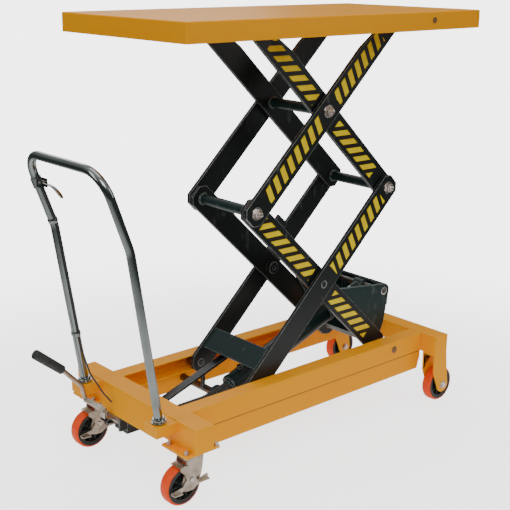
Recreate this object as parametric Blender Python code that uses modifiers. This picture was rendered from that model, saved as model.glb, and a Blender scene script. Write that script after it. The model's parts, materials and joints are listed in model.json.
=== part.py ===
"""Mobile double scissor lift table with a foot pump, modelled raised.

Frame: +X towards the fixed wheels, +Y to the operator's left, +Z up, floor at z = 0.
The origin is the middle of the overall box, on the floor. The lift geometry is
written from LIFT_X, the place of the scissors' centre line along X.
"""
import math

import bmesh
import bpy
from mathutils import Matrix, Vector

# ---------------------------------------------------------------- driving dimensions
GAP = 0.0003                  # between touching pieces
LIFT_X = 0.1782               # scissors' centre line
WHEEL_RADIUS = 0.0635         # 5 inch castors and wheels

ARM_HALF = 0.414              # pivot to centre of a scissor arm
REST_ANGLE = math.radians(43.97)
ARM_WIDTH = 0.080
ARM_THICK = 0.012
INNER_Y = 0.124               # middle of the inner arms' thickness
OUTER_Y = 0.142               # middle of the outer arms' thickness
BASE_PIVOT_Z = 0.230
PIN_RADIUS = 0.010
PIN_PLAY = 0.0004             # radial clearance of a pin in its hole

TABLE_LENGTH = 1.220
TABLE_WIDTH = 0.612
TABLE_SKIRT = 0.058
TABLE_SHEET = 0.003
TABLE_TOP_Z = 1.398
TABLE_START_X = LIFT_X - 0.6825
TOP_ROLLER_RADIUS = 0.0145
BASE_ROLLER_RADIUS = 0.023

BASE_TOP_Z = 0.2575
RAIL_OUTER_Y = 0.208
RAIL_INNER_Y = 0.152
RAIL_SEAM_Z = 0.192
SKIRT_BOTTOM_Z = 0.1235
RAIL_START_X = LIFT_X - 0.6055
RAIL_END_X = LIFT_X + 0.446
HANDLE_BEAM_X = LIFT_X - 0.672
WHEEL_BEAM_X = LIFT_X + 0.5104
BEAM_BOTTOM_Z = 0.178
BEAM_HALF_Y = 0.316
PLATE = 0.004                 # sheet thickness of rails and beams

SWIVEL_X = LIFT_X - 0.635
CASTOR_Y = 0.247
CASTOR_TRAIL = 0.043
BRAKE_PIVOT = (0.020, 0.0830)  # ahead of the wheel's axle, and its height
FIXED_WHEEL_X = LIFT_X + 0.498
FIXED_WHEEL_Y = 0.248
AXLE_RADIUS = 0.006

HANDLE_RADIUS = 0.013
HANDLE_HALF_Y = 0.200
HANDLE_FOOT_X = LIFT_X - 0.716
HANDLE_KNEE = (LIFT_X - 0.800, 0.785)
HANDLE_TOP = (LIFT_X - 0.884, 1.014)

CYLINDER_FOOT = (LIFT_X - 0.330, 0.165)
HORN_PIN = (LIFT_X + 0.335, 0.418)
BARREL_RADIUS = 0.036
BARREL_LENGTH = 0.545         # from the foot pin to the gland
ROD_RADIUS = 0.018

PEDAL_PIVOT = (LIFT_X - 0.690, 0.163)

# ---------------------------------------------------------------- finishes
FINISHES = {
    "yellow_paint": ((0.95, 0.37, 0.012), 0.35, 0.0),
    "black_paint": ((0.012, 0.016, 0.016), 0.40, 0.0),
    "teal_paint": ((0.012, 0.045, 0.045), 0.42, 0.0),
    "chrome": ((0.80, 0.81, 0.82), 0.12, 1.0),
    "zinc": ((0.58, 0.52, 0.44), 0.38, 0.9),
    "steel": ((0.42, 0.40, 0.37), 0.40, 1.0),
    "orange_tread": ((0.80, 0.09, 0.02), 0.45, 0.0),
    "black_core": ((0.02, 0.022, 0.020), 0.50, 0.0),
    "rubber": ((0.03, 0.035, 0.035), 0.70, 0.0),
}

for old in list(bpy.data.objects):
    bpy.data.objects.remove(old, do_unlink=True)

PARTS = bpy.data.collections.new("scissor_lift_table")
CUTTERS = bpy.data.collections.new("cutters")
bpy.context.scene.collection.children.link(PARTS)
bpy.context.scene.collection.children.link(CUTTERS)


# ---------------------------------------------------------------- shape helpers
def finish(name):
    """Return the named finish, made on first use."""
    material = bpy.data.materials.get(name)
    if material is None:
        colour, rough, metal = FINISHES[name]
        material = bpy.data.materials.new(name)
        material.use_nodes = True
        shader = material.node_tree.nodes["Principled BSDF"]
        shader.inputs["Base Color"].default_value = (*colour, 1.0)
        shader.inputs["Roughness"].default_value = rough
        shader.inputs["Metallic"].default_value = metal
    return material


def place(mesh, name, origin=(0, 0, 0)):
    """Link a mesh that is written in world coordinates, with its object's origin where asked."""
    mesh.transform(Matrix.Translation(-Vector(origin)))
    piece = bpy.data.objects.new(name, mesh)
    piece.location = origin
    PARTS.objects.link(piece)
    return piece


def block(low, high, name="shape"):
    """An upright box between two corners."""
    low, high = Vector(low), Vector(high)
    bm = bmesh.new()
    bmesh.ops.create_cube(bm, size=1.0)
    bmesh.ops.scale(bm, vec=high - low, verts=bm.verts)
    bmesh.ops.translate(bm, vec=(low + high) / 2, verts=bm.verts)
    mesh = bpy.data.meshes.new(name)
    bm.to_mesh(mesh)
    bm.free()
    return place(mesh, name)


def bar(start, end, radius, name="shape", end_radius=None, sides=16):
    """A round bar or cone between two points."""
    start, end = Vector(start), Vector(end)
    run = end - start
    bm = bmesh.new()
    bmesh.ops.create_cone(bm, cap_ends=True, segments=sides, radius1=radius,
                          radius2=radius if end_radius is None else end_radius,
                          depth=run.length)
    turn = run.to_track_quat("Z", "Y").to_matrix().to_4x4()
    bmesh.ops.transform(bm, matrix=Matrix.Translation((start + end) / 2) @ turn, verts=bm.verts)
    mesh = bpy.data.meshes.new(name)
    bm.to_mesh(mesh)
    bm.free()
    return place(mesh, name)


def cross_bar(x, z, radius, y_from, y_to, name="shape", sides=16):
    """A round bar along Y."""
    return bar((x, y_from, z), (x, y_to, z), radius, name, sides=sides)


def mesh_of(curve_object):
    """Turn a curve object into a welded mesh object and drop the curve."""
    graph = bpy.context.evaluated_depsgraph_get()
    mesh = bpy.data.meshes.new_from_object(curve_object.evaluated_get(graph))
    bm = bmesh.new()
    bm.from_mesh(mesh)
    bmesh.ops.remove_doubles(bm, verts=bm.verts, dist=0.00001)
    bm.to_mesh(mesh)
    bm.free()
    piece = bpy.data.objects.new(curve_object.name, mesh)
    piece.matrix_world = curve_object.matrix_world
    PARTS.objects.link(piece)
    name = curve_object.name
    bpy.data.objects.remove(curve_object, do_unlink=True)
    piece.name = name
    return piece


def spline(curve, points, closed=False):
    """Add one straight-sided spline through the points."""
    line = curve.splines.new("POLY")
    line.points.add(len(points) - 1)
    for knot, point in zip(line.points, points):
        knot.co = (*point, 1.0) if len(point) == 3 else (*point, 0.0, 1.0)
    line.use_cyclic_u = closed


def plate(outline, y_from, y_to, name="shape", holes=()):
    """A flat plate in the XZ plane between two Y planes; holes are (x, z, radius)."""
    curve = bpy.data.curves.new(name, "CURVE")
    curve.dimensions = "2D"
    curve.fill_mode = "BOTH"
    curve.extrude = abs(y_to - y_from) / 2
    spline(curve, outline, closed=True)
    for x, z, radius in holes:
        spline(curve, arc((x, z), radius, 0, 360, 16)[:-1], closed=True)
    shape = bpy.data.objects.new(name, curve)
    shape.matrix_world = (Matrix.Translation((0, (y_from + y_to) / 2, 0))
                          @ Matrix.Rotation(math.pi / 2, 4, "X"))
    PARTS.objects.link(shape)
    bpy.context.view_layer.update()
    return mesh_of(shape)


def tube(points, radius, name="shape", sides_step=3):
    """A round tube or wire along the points, with closed ends."""
    curve = bpy.data.curves.new(name, "CURVE")
    curve.dimensions = "3D"
    curve.bevel_depth = radius
    curve.bevel_resolution = sides_step
    curve.use_fill_caps = True
    spline(curve, points)
    shape = bpy.data.objects.new(name, curve)
    PARTS.objects.link(shape)
    bpy.context.view_layer.update()
    return mesh_of(shape)


def turned(profile, centre, name="shape", steps=24):
    """A ring or disc turned about the Y axis; the profile's (radius, y) points run up its outer side."""
    bm = bmesh.new()
    knots = [bm.verts.new((radius, 0, y)) for radius, y in reversed(profile)]
    for first, second in zip(knots, knots[1:] + knots[:1]):
        bm.edges.new((first, second))
    mesh = bpy.data.meshes.new(name)
    bm.to_mesh(mesh)
    bm.free()
    piece = bpy.data.objects.new(name, mesh)
    PARTS.objects.link(piece)
    screw = piece.modifiers.new("turn", "SCREW")
    screw.axis = "Z"
    screw.steps = steps
    screw.render_steps = steps
    screw.use_merge_vertices = True
    screw.merge_threshold = 0.00001
    piece.matrix_world = Matrix.Translation(centre) @ Matrix.Rotation(-math.pi / 2, 4, "X")
    return piece


def arc(centre, radius, start, end, steps):
    """Points on an arc in a plane, angles in degrees."""
    turns = [math.radians(start + (end - start) * i / steps) for i in range(steps + 1)]
    return [(centre[0] + radius * math.cos(t), centre[1] + radius * math.sin(t)) for t in turns]


def rounded_path(corners, radii, steps=6):
    """Points of a path whose inner corners are rounded with the given radii."""
    points = [Vector(corners[0])]
    for i, radius in enumerate(radii, start=1):
        before, here, after = (Vector(corners[k]) for k in (i - 1, i, i + 1))
        back = (before - here).normalized()
        ahead = (after - here).normalized()
        half = back.angle(ahead) / 2
        middle = here + (back + ahead).normalized() * radius / math.sin(half)
        first = (here + back * radius / math.tan(half) - middle).normalized()
        last = (here + ahead * radius / math.tan(half) - middle).normalized()
        for k in range(steps + 1):
            points.append(middle + first.slerp(last, k / steps) * radius)
    points.append(Vector(corners[-1]))
    return [tuple(p) for p in points]


def use_tool(piece, tools, operation):
    """Join or cut a piece with other shapes, which become hidden guides."""
    for tool in tools:
        step = piece.modifiers.new(operation.lower(), "BOOLEAN")
        step.operation = operation
        step.solver = "EXACT"
        step.object = tool
        tool.hide_render = True
        tool.display_type = "WIRE"
        for home in list(tool.users_collection):
            home.objects.unlink(tool)
        CUTTERS.objects.link(tool)
    return piece


def join(piece, *others):
    return use_tool(piece, others, "UNION")


def cut(piece, *others):
    return use_tool(piece, others, "DIFFERENCE")


def call(piece, name, colour, pivot=None, smooth=True):
    """Name a finished piece, give it its finish, and set its origin on its joint's axis."""
    piece.name = name
    piece.data.name = name
    piece.data.materials.clear()
    piece.data.materials.append(finish(colour))
    if smooth:
        piece.data.shade_smooth()
        piece.data.set_sharp_from_angle(angle=math.radians(35))
    if pivot is not None:
        bpy.context.view_layer.update()
        move = Matrix.Translation(Vector(pivot))
        piece.data.transform(move.inverted() @ piece.matrix_world)
        piece.matrix_world = move
    return piece


# ---------------------------------------------------------------- lift geometry
RUN = ARM_HALF * math.cos(REST_ANGLE)
RISE = ARM_HALF * math.sin(REST_ANGLE)
FIXED_X = LIFT_X + RUN        # base pivot, right middle joint and platform pivot
ROLLING_X = LIFT_X - RUN      # base roller, left middle joint and platform roller
LOWER_CENTRE = (LIFT_X, BASE_PIVOT_Z + RISE)
MIDDLE_Z = BASE_PIVOT_Z + 2 * RISE
UPPER_CENTRE = (LIFT_X, BASE_PIVOT_Z + 3 * RISE)
PLATFORM_PIVOT_Z = BASE_PIVOT_Z + 4 * RISE
SIDES = (("right", -1), ("left", 1))


def arm_outline(centre, lean, foot, head):
    """Outline of an arm. lean is +1 for an arm rising towards +X and -1 for one falling.

    foot and head name the end shapes: joint (square with cut corners), roller (round)
    or eye (small round end whose upper edge tapers, so it folds flat under the platform).
    """
    along = Vector((math.cos(REST_ANGLE) * lean, math.sin(REST_ANGLE)))
    above = Vector((-math.sin(REST_ANGLE) * lean, math.cos(REST_ANGLE)))
    half = ARM_WIDTH / 2
    cut_corner = 0.020
    reach = 0.038
    ends = {
        "joint": [(reach - cut_corner, -half), (reach, -half + cut_corner),
                  (reach, half - cut_corner), (reach - cut_corner, half)],
        "roller": [(0.0, -half)] + arc((0, 0), 0.034, -62, 62, 8) + [(0.0, half)],
        "eye": [(-0.036, -half)] + arc((0, 0), 0.0125, -60, 90, 7) + [(-0.180, half)],
    }
    shape = [(ARM_HALF + u, v) for u, v in ends[head]]
    shape += [(-ARM_HALF - u, -v) for u, v in ends[foot]]
    if lean < 0:
        shape.reverse()
    return [tuple(Vector(centre) + along * u + above * v) for u, v in shape]


def scissor_arm(centre, lean, foot, head, y_middle, side, name):
    """One arm with its three holes."""
    step = Vector((math.cos(REST_ANGLE) * lean, math.sin(REST_ANGLE))) * ARM_HALF
    middles = [Vector(centre) - step, Vector(centre), Vector(centre) + step]
    hole = PIN_RADIUS + PIN_PLAY
    sizes = [hole, hole, hole]
    if head == "eye":
        sizes[2] = 0.007 + PIN_PLAY
    holes = [(p.x, p.y, size) for p, size in zip(middles, sizes)]
    y_from = side * y_middle - ARM_THICK / 2
    return plate(arm_outline(centre, lean, foot, head), y_from, y_from + ARM_THICK, name, holes)


# ---------------------------------------------------------------- scissor arms
def build_arms():
    for word, side in SIDES:
        call(scissor_arm(LOWER_CENTRE, -1, "roller", "joint", INNER_Y, side, "arm"),
             f"lower_inner_arm_{word}", "black_paint", (FIXED_X, side * INNER_Y, BASE_PIVOT_Z))
        lower = scissor_arm(LOWER_CENTRE, 1, "roller", "joint", OUTER_Y, side, "arm")
        axle_from = OUTER_Y - ARM_THICK / 2
        join(lower, cross_bar(ROLLING_X, BASE_PIVOT_Z, PIN_RADIUS + 0.001,
                              side * axle_from, side * 0.190))
        call(lower, f"lower_outer_arm_{word}", "black_paint",
             (LOWER_CENTRE[0], side * OUTER_Y, LOWER_CENTRE[1]))
        call(scissor_arm(UPPER_CENTRE, 1, "joint", "eye", OUTER_Y, side, "arm"),
             f"upper_outer_arm_{word}", "black_paint", (ROLLING_X, side * OUTER_Y, MIDDLE_Z))
        upper = scissor_arm(UPPER_CENTRE, -1, "joint", "eye", INNER_Y, side, "arm")
        axle_from = INNER_Y - ARM_THICK / 2
        join(upper, cross_bar(ROLLING_X, PLATFORM_PIVOT_Z, 0.0078,
                              side * axle_from, side * 0.163))
        call(upper, f"upper_inner_arm_{word}", "black_paint",
             (UPPER_CENTRE[0], side * INNER_Y, UPPER_CENTRE[1]))


def joint_shaft(x, z, name, spacer_radius=0.017):
    """A through shaft with a spacer tube between the inner arms, washers and bolt heads."""
    inner_face = INNER_Y - ARM_THICK / 2 - GAP
    shaft = cross_bar(x, z, PIN_RADIUS, -0.176, 0.176)
    join(shaft, cross_bar(x, z, spacer_radius, -inner_face, inner_face))
    for side in (-1, 1):
        washer_from = INNER_Y + ARM_THICK / 2 + GAP
        washer_to = OUTER_Y - ARM_THICK / 2 - GAP
        join(shaft, cross_bar(x, z, 0.018, side * washer_from, side * washer_to))
        outer_face = OUTER_Y + ARM_THICK / 2 + GAP
        join(shaft, cross_bar(x, z, 0.021, side * outer_face, side * (outer_face + 0.003)))
        join(shaft, cross_bar(x, z, 0.0172, side * (outer_face + 0.0025),
                              side * (outer_face + 0.017), sides=6))
    return call(shaft, name, "steel", (x, 0, z))


def build_joints():
    joint_shaft(ROLLING_X, MIDDLE_Z, "left_middle_shaft")
    joint_shaft(FIXED_X, MIDDLE_Z, "right_middle_shaft")
    joint_shaft(*UPPER_CENTRE, "upper_centre_shaft")
    for word, side in SIDES:
        x, z = LOWER_CENTRE
        inner_face = INNER_Y - ARM_THICK / 2 - GAP
        outer_face = OUTER_Y + ARM_THICK / 2
        pin = cross_bar(x, z, PIN_RADIUS, side * 0.100, side * (outer_face + 0.001))
        join(pin, cross_bar(x, z, 0.022, side * 0.098, side * inner_face),
             cross_bar(x, z, 0.018, side * (INNER_Y + ARM_THICK / 2 + GAP),
                       side * (OUTER_Y - ARM_THICK / 2 - GAP)))
        call(pin, f"lower_centre_pin_{word}", "black_paint", (x, side * INNER_Y, z))


def build_rollers():
    for word, side in SIDES:
        roller = turned([(BASE_ROLLER_RADIUS, -0.013), (BASE_ROLLER_RADIUS - 0.002, -0.015),
                         (0.0115, -0.015), (0.0115, 0.015),
                         (BASE_ROLLER_RADIUS - 0.002, 0.015), (BASE_ROLLER_RADIUS, 0.013)][::-1],
                        (ROLLING_X, side * 0.171, BASE_PIVOT_Z))
        call(roller, f"base_roller_{word}", "steel")
        roller = turned([(TOP_ROLLER_RADIUS, -0.010), (TOP_ROLLER_RADIUS - 0.001, -0.011),
                         (0.0083, -0.011), (0.0083, 0.011),
                         (TOP_ROLLER_RADIUS - 0.001, 0.011), (TOP_ROLLER_RADIUS, 0.010)][::-1],
                        (ROLLING_X, side * 0.148, PLATFORM_PIVOT_Z))
        call(roller, f"platform_roller_{word}", "steel")


def build_lower_frame_members():
    """The plate that ties the lower outer arms, and the horns that the cylinder pushes."""
    foot = Vector((ROLLING_X, BASE_PIVOT_Z))
    along = Vector((math.cos(REST_ANGLE), math.sin(REST_ANGLE)))
    above = Vector((-math.sin(REST_ANGLE), math.cos(REST_ANGLE)))
    thick = 0.006
    flange = 0.030
    section = [(0.045, 0.034), (0.045, 0.034 - thick), (0.124 - thick, 0.034 - thick),
               (0.124 - thick, 0.034 - flange), (0.124, 0.034 - flange), (0.124, 0.034)]
    outline = [tuple(foot + along * u + above * v) for u, v in section]
    reach = OUTER_Y - ARM_THICK / 2 - GAP
    call(plate(outline, -reach, reach), "lower_tie_plate", "teal_paint",
         (LOWER_CENTRE[0], 0, LOWER_CENTRE[1]))

    x, z = HORN_PIN
    horn_edge = ([(LIFT_X + 0.112, 0.472)]
                 + arc((x, z), 0.026, 74, -12, 6)
                 + [(LIFT_X + 0.338, 0.300), (LIFT_X + 0.322, 0.262), (LIFT_X + 0.250, 0.262)])
    inner = INNER_Y - ARM_THICK / 2 - GAP
    horns = plate(horn_edge, -inner, -inner + 0.010, holes=[(x, z, PIN_RADIUS + PIN_PLAY)])
    join(horns, plate(horn_edge, inner - 0.010, inner, holes=[(x, z, PIN_RADIUS + PIN_PLAY)]))
    plate_foot = 0.362
    back_plate = plate([(x + 0.0245, plate_foot), (x + 0.0245, z + 0.008), (x + 0.0180, z + 0.0195),
                        (x + 0.0100, z + 0.0250), (x + 0.0080, z + 0.0195),
                        (x + 0.0145, z + 0.0155), (x + 0.0195, z + 0.0070), (x + 0.0195, plate_foot)],
                       -inner + 0.004, inner - 0.004)
    tie_bar = plate([(LIFT_X + 0.262, 0.238), (LIFT_X + 0.288, 0.265),
                     (LIFT_X + 0.262, 0.292), (LIFT_X + 0.236, 0.265)],
                    -inner + 0.004, inner - 0.004)
    join(horns, back_plate, tie_bar)
    call(horns, "horn_bracket", "teal_paint", (FIXED_X, 0, BASE_PIVOT_Z))
    call(cross_bar(x, z, PIN_RADIUS, -inner, inner), "horn_pin", "steel", (x, 0, z))


# ---------------------------------------------------------------- platform
def build_platform():
    low = (TABLE_START_X, -TABLE_WIDTH / 2, TABLE_TOP_Z - TABLE_SKIRT)
    high = (TABLE_START_X + TABLE_LENGTH, TABLE_WIDTH / 2, TABLE_TOP_Z)
    pan = block(low, high)
    edge = pan.modifiers.new("folded_edges", "BEVEL")
    edge.width = 0.004
    edge.segments = 2
    inside = block((low[0] + TABLE_SHEET, low[1] + TABLE_SHEET, low[2] - 0.01),
                   (high[0] - TABLE_SHEET, high[1] - TABLE_SHEET, high[2] - TABLE_SHEET))
    cut(pan, inside)
    call(pan, "platform_pan", "yellow_paint", (FIXED_X, 0, PLATFORM_PIVOT_Z))
    under = TABLE_TOP_Z - TABLE_SHEET - GAP
    flange_z = PLATFORM_PIVOT_Z - TOP_ROLLER_RADIUS - 0.0008
    for word, side in SIDES:
        web = block((LIFT_X - 0.600, min(side * 0.166, side * 0.170), flange_z - 0.003),
                    (LIFT_X + 0.420, max(side * 0.166, side * 0.170), under))
        track = block((LIFT_X - 0.600, min(side * 0.1335, side * 0.168), flange_z - 0.003),
                      (LIFT_X - 0.230, max(side * 0.1335, side * 0.168), flange_z))
        pin = cross_bar(FIXED_X, PLATFORM_PIVOT_Z, 0.007, side * 0.1335, side * 0.168)
        collar = cross_bar(FIXED_X, PLATFORM_PIVOT_Z, 0.012, side * 0.1485, side * 0.168)
        call(join(web, track, pin, collar), f"platform_channel_{word}", "black_paint",
             (FIXED_X, side * 0.168, PLATFORM_PIVOT_Z))


# ---------------------------------------------------------------- base
def build_base():
    for word, side in SIDES:
        def strip(y_from, y_to, z_from, z_to, x_from=RAIL_START_X, x_to=RAIL_END_X):
            return block((x_from, min(side * y_from, side * y_to), z_from),
                         (x_to, max(side * y_from, side * y_to), z_to))
        rail = strip(RAIL_OUTER_Y - PLATE, RAIL_OUTER_Y, RAIL_SEAM_Z, BASE_TOP_Z)
        track_top = BASE_PIVOT_Z - BASE_ROLLER_RADIUS - 0.0005
        join(rail,
             strip(RAIL_INNER_Y, RAIL_OUTER_Y - 0.001, BASE_TOP_Z - PLATE, BASE_TOP_Z),
             strip(RAIL_INNER_Y, RAIL_OUTER_Y - 0.001, track_top - PLATE, track_top),
             strip(RAIL_INNER_Y + 0.001, RAIL_OUTER_Y - 0.001, track_top - 0.001,
                   BASE_TOP_Z - 0.001, FIXED_X - 0.030, FIXED_X + 0.030),
             cross_bar(FIXED_X, BASE_PIVOT_Z, PIN_RADIUS, side * 0.114, side * 0.200),
             cross_bar(FIXED_X, BASE_PIVOT_Z, 0.016, side * 0.1305, side * 0.160),
             cross_bar(FIXED_X, BASE_PIVOT_Z, 0.013, side * 0.205, side * 0.2105))
        call(rail, f"base_rail_{word}", "yellow_paint")

        skirt_start = LIFT_X - 0.574
        top = RAIL_SEAM_Z - GAP
        outline = [(skirt_start, SKIRT_BOTTOM_Z), (LIFT_X + 0.432, SKIRT_BOTTOM_Z),
                   (RAIL_END_X, 0.168), (RAIL_END_X, top), (skirt_start, top)]
        skirt = plate(outline, side * 0.202 - 0.004, side * 0.202 + 0.004)
        call(skirt, f"base_skirt_{word}", "yellow_paint")

        castor_plate_z = BEAM_BOTTOM_Z - GAP
        mount = block((SWIVEL_X - 0.065, side * CASTOR_Y - 0.060, castor_plate_z - 0.008),
                      (SWIVEL_X + 0.0605, side * CASTOR_Y + 0.060, castor_plate_z))
        call(mount, f"castor_mount_{word}", "yellow_paint")


def build_handle_beam():
    """The bent cover across the handle end, its two box ends and the handle sockets."""
    back = RAIL_START_X - GAP
    beam = block((HANDLE_BEAM_X, -BEAM_HALF_Y, BASE_TOP_Z - PLATE), (back, BEAM_HALF_Y, BASE_TOP_Z))
    for side in (-1, 1):
        def wall(x_from, x_to, y_from, y_to, z_from=BEAM_BOTTOM_Z, z_to=BASE_TOP_Z - 0.001):
            return block((x_from, min(side * y_from, side * y_to), z_from),
                         (x_to, max(side * y_from, side * y_to), z_to))
        socket_x = HANDLE_BEAM_X - 0.076
        socket = wall(socket_x, HANDLE_BEAM_X + 0.002, 0.170, 0.230, 0.2215, BASE_TOP_Z - 0.003)
        collar = bar((HANDLE_FOOT_X, side * HANDLE_HALF_Y, BASE_TOP_Z - 0.006),
                     (HANDLE_FOOT_X - 0.002, side * HANDLE_HALF_Y, BASE_TOP_Z + 0.010), 0.0175)
        join(beam,
             wall(HANDLE_BEAM_X, HANDLE_BEAM_X + PLATE, 0.150, BEAM_HALF_Y),
             wall(HANDLE_BEAM_X, back, BEAM_HALF_Y - PLATE, BEAM_HALF_Y),
             wall(back - PLATE, back, RAIL_OUTER_Y + 0.002, BEAM_HALF_Y),
             wall(HANDLE_BEAM_X, back, 0.2255, 0.2255 + PLATE),
             socket, collar)
    slope_foot = LIFT_X - 0.694
    apron = plate([(HANDLE_BEAM_X, BASE_TOP_Z - 0.0005), (slope_foot, 0.176),
                   (slope_foot + PLATE, 0.176), (HANDLE_BEAM_X + PLATE, BASE_TOP_Z - 0.0005)],
                  -0.151, 0.151)
    corners = [bar((slope_foot - 0.03, side * 0.165, 0.166), (slope_foot + 0.03, side * 0.165, 0.166),
                   0.040, sides=4) for side in (-1, 1)]
    cut(apron, *corners)
    join(beam, apron)
    for side in (-1, 1):
        cut(beam, bar(handle_point(0.2225, side), handle_point(0.300, side), HANDLE_RADIUS + PIN_PLAY))
    call(beam, "handle_end_beam", "yellow_paint")


def build_wheel_beam():
    """The beam across the fixed-wheel end, open below, and the two wheel forks."""
    start = RAIL_END_X + GAP
    half = 0.2701
    beam = block((start, -half, BASE_TOP_Z - PLATE), (WHEEL_BEAM_X, half, BASE_TOP_Z))
    join(beam,
         block((start, -half, 0.189), (start + PLATE, half, BASE_TOP_Z - 0.001)),
         block((WHEEL_BEAM_X - PLATE, -half, 0.189), (WHEEL_BEAM_X, half, BASE_TOP_Z - 0.001)))
    call(beam, "wheel_end_beam", "yellow_paint")
    for word, side in SIDES:
        def fork_plate(y_from, y_to, top_z):
            foot = arc((FIXED_WHEEL_X, WHEEL_RADIUS), 0.028, -150, 10, 8)
            outline = ([(RAIL_END_X, 0.120)] + foot + [(WHEEL_BEAM_X + 0.008, 0.120),
                       (WHEEL_BEAM_X, 0.186), (WHEEL_BEAM_X, top_z), (RAIL_END_X, top_z)])
            return plate(outline, min(side * y_from, side * y_to), max(side * y_from, side * y_to))
        fork = fork_plate(0.2704, 0.2764, BASE_TOP_Z)
        join(fork, fork_plate(0.2196, 0.2256, 0.1885),
             block((RAIL_END_X + 0.001, min(side * 0.220, side * 0.276), 0.1825),
                   (WHEEL_BEAM_X - 0.001, max(side * 0.220, side * 0.276), 0.1884)),
             cross_bar(FIXED_WHEEL_X, WHEEL_RADIUS, AXLE_RADIUS, side * 0.214, side * 0.282),
             cross_bar(FIXED_WHEEL_X, WHEEL_RADIUS, 0.010, side * 0.2755, side * 0.2815, sides=6))
        call(fork, f"fixed_wheel_fork_{word}", "yellow_paint")


# ---------------------------------------------------------------- wheels and castors
def build_wheel(x, y, half_width, name):
    """A tread ring pressed on a spoked core that turns on the fork's axle."""
    tread_inner = WHEEL_RADIUS - 0.013
    round_off = 0.006
    tyre = turned([(WHEEL_RADIUS, half_width - round_off), (WHEEL_RADIUS - 0.0025, half_width - 0.0015),
                   (WHEEL_RADIUS - 0.007, half_width), (tread_inner + GAP, half_width),
                   (tread_inner + GAP, -half_width), (WHEEL_RADIUS - 0.007, -half_width),
                   (WHEEL_RADIUS - 0.0025, -half_width + 0.0015),
                   (WHEEL_RADIUS, -half_width + round_off)],
                  (x, y, WHEEL_RADIUS))
    call(tyre, f"{name}_tyre", "orange_tread")
    web = 0.005
    rim = tread_inner - 0.006
    core = turned([(tread_inner, half_width), (rim, half_width - 0.001), (rim - 0.003, web),
                   (0.018, web), (0.016, half_width + 0.001),
                   (AXLE_RADIUS + PIN_PLAY, half_width + 0.001),
                   (AXLE_RADIUS + PIN_PLAY, -half_width - 0.001),
                   (0.016, -half_width - 0.001), (0.018, -web), (rim - 0.003, -web),
                   (rim, -half_width + 0.001), (tread_inner, -half_width)],
                  (x, y, WHEEL_RADIUS))
    call(core, f"{name}_core", "black_core")


def build_castors():
    for word, side in SIDES:
        y = side * CASTOR_Y
        wheel_x = SWIVEL_X - CASTOR_TRAIL
        plate_top = BEAM_BOTTOM_Z - 0.008 - 2 * GAP
        top = block((SWIVEL_X - 0.055, y - 0.045, plate_top - 0.005),
                    (SWIVEL_X + 0.052, y + 0.045, plate_top))
        race_z = plate_top - 0.017
        join(top, bar((SWIVEL_X, y, race_z), (SWIVEL_X, y, plate_top - 0.004), 0.029))
        call(top, f"castor_top_plate_{word}", "zinc")

        crown_top = race_z - 0.001
        crown = bar((SWIVEL_X, y, crown_top - 0.008), (SWIVEL_X, y, crown_top), 0.031)
        leg_y = 0.0235
        for flank in (-1, 1):
            outline = ([(SWIVEL_X + 0.026, crown_top - 0.003), (SWIVEL_X - 0.034, crown_top - 0.003)]
                       + arc((wheel_x, WHEEL_RADIUS), 0.014, 175, 300, 7)
                       + [(wheel_x + 0.044, 0.063), (wheel_x + 0.058, 0.084), (wheel_x + 0.064, 0.106)])
            join(crown, plate(outline, y + flank * leg_y - 0.0018, y + flank * leg_y + 0.0018))
        join(crown,
             block((SWIVEL_X - 0.034, y - leg_y - 0.001, crown_top - 0.007),
                   (SWIVEL_X + 0.026, y + leg_y + 0.001, crown_top - 0.003)),
             cross_bar(wheel_x, WHEEL_RADIUS, AXLE_RADIUS, y - 0.0262, y + 0.034),
             cross_bar(wheel_x + BRAKE_PIVOT[0], BRAKE_PIVOT[1], 0.005, y - 0.0345, y - 0.022))
        join(crown, cross_bar(wheel_x, WHEEL_RADIUS, 0.0095, y + leg_y, y + 0.031, sides=6))
        call(crown, f"castor_fork_{word}", "zinc", (SWIVEL_X, y, crown_top))
        build_wheel(wheel_x, y, 0.019, f"castor_{word}")
        build_brake(wheel_x, y, word)
    for word, side in SIDES:
        build_wheel(FIXED_WHEEL_X, side * FIXED_WHEEL_Y, 0.018, f"fixed_wheel_{word}")


def build_brake(wheel_x, y, word):
    """A rocking toe lever on the castor's right side, with a shoe over the tread."""
    y_out = y - 0.0295
    edge = [(-0.050, 0.0500), (-0.054, 0.0560), (-0.052, 0.0625), (-0.012, 0.0690), (0.003, 0.0860),
            (-0.008, 0.1080), (-0.0205, 0.1200), (-0.0180, 0.1300), (0.008, 0.1320), (0.020, 0.1060),
            (0.034, 0.0890), (0.040, 0.0760), (0.077, 0.0850), (0.082, 0.0790), (0.080, 0.0720),
            (0.040, 0.0580), (0.026, 0.0490), (0.004, 0.0490), (-0.010, 0.0540)]
    outline = [(wheel_x + x, z) for x, z in edge]
    lever = plate(outline, y_out - 0.0018, y_out + 0.0018,
                  holes=[(wheel_x + BRAKE_PIVOT[0], BRAKE_PIVOT[1], 0.005 + PIN_PLAY)])
    toe = block((wheel_x - 0.051, y_out - 0.014, 0.0530), (wheel_x - 0.022, y_out, 0.0570))
    heel = block((wheel_x + 0.044, y_out - 0.014, 0.0700), (wheel_x + 0.078, y_out, 0.0740))
    shoe_radius = WHEEL_RADIUS + 0.0035
    shoe_outline = (arc((wheel_x, WHEEL_RADIUS), shoe_radius, 108, 88, 5)
                    + arc((wheel_x, WHEEL_RADIUS), shoe_radius + 0.003, 88, 108, 5))
    shoe = plate(shoe_outline, y_out - 0.001, y + 0.016)
    join(lever, toe, heel, shoe)
    call(lever, f"castor_brake_lever_{word}", "zinc",
         (wheel_x + BRAKE_PIVOT[0], y_out, BRAKE_PIVOT[1]))


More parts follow.
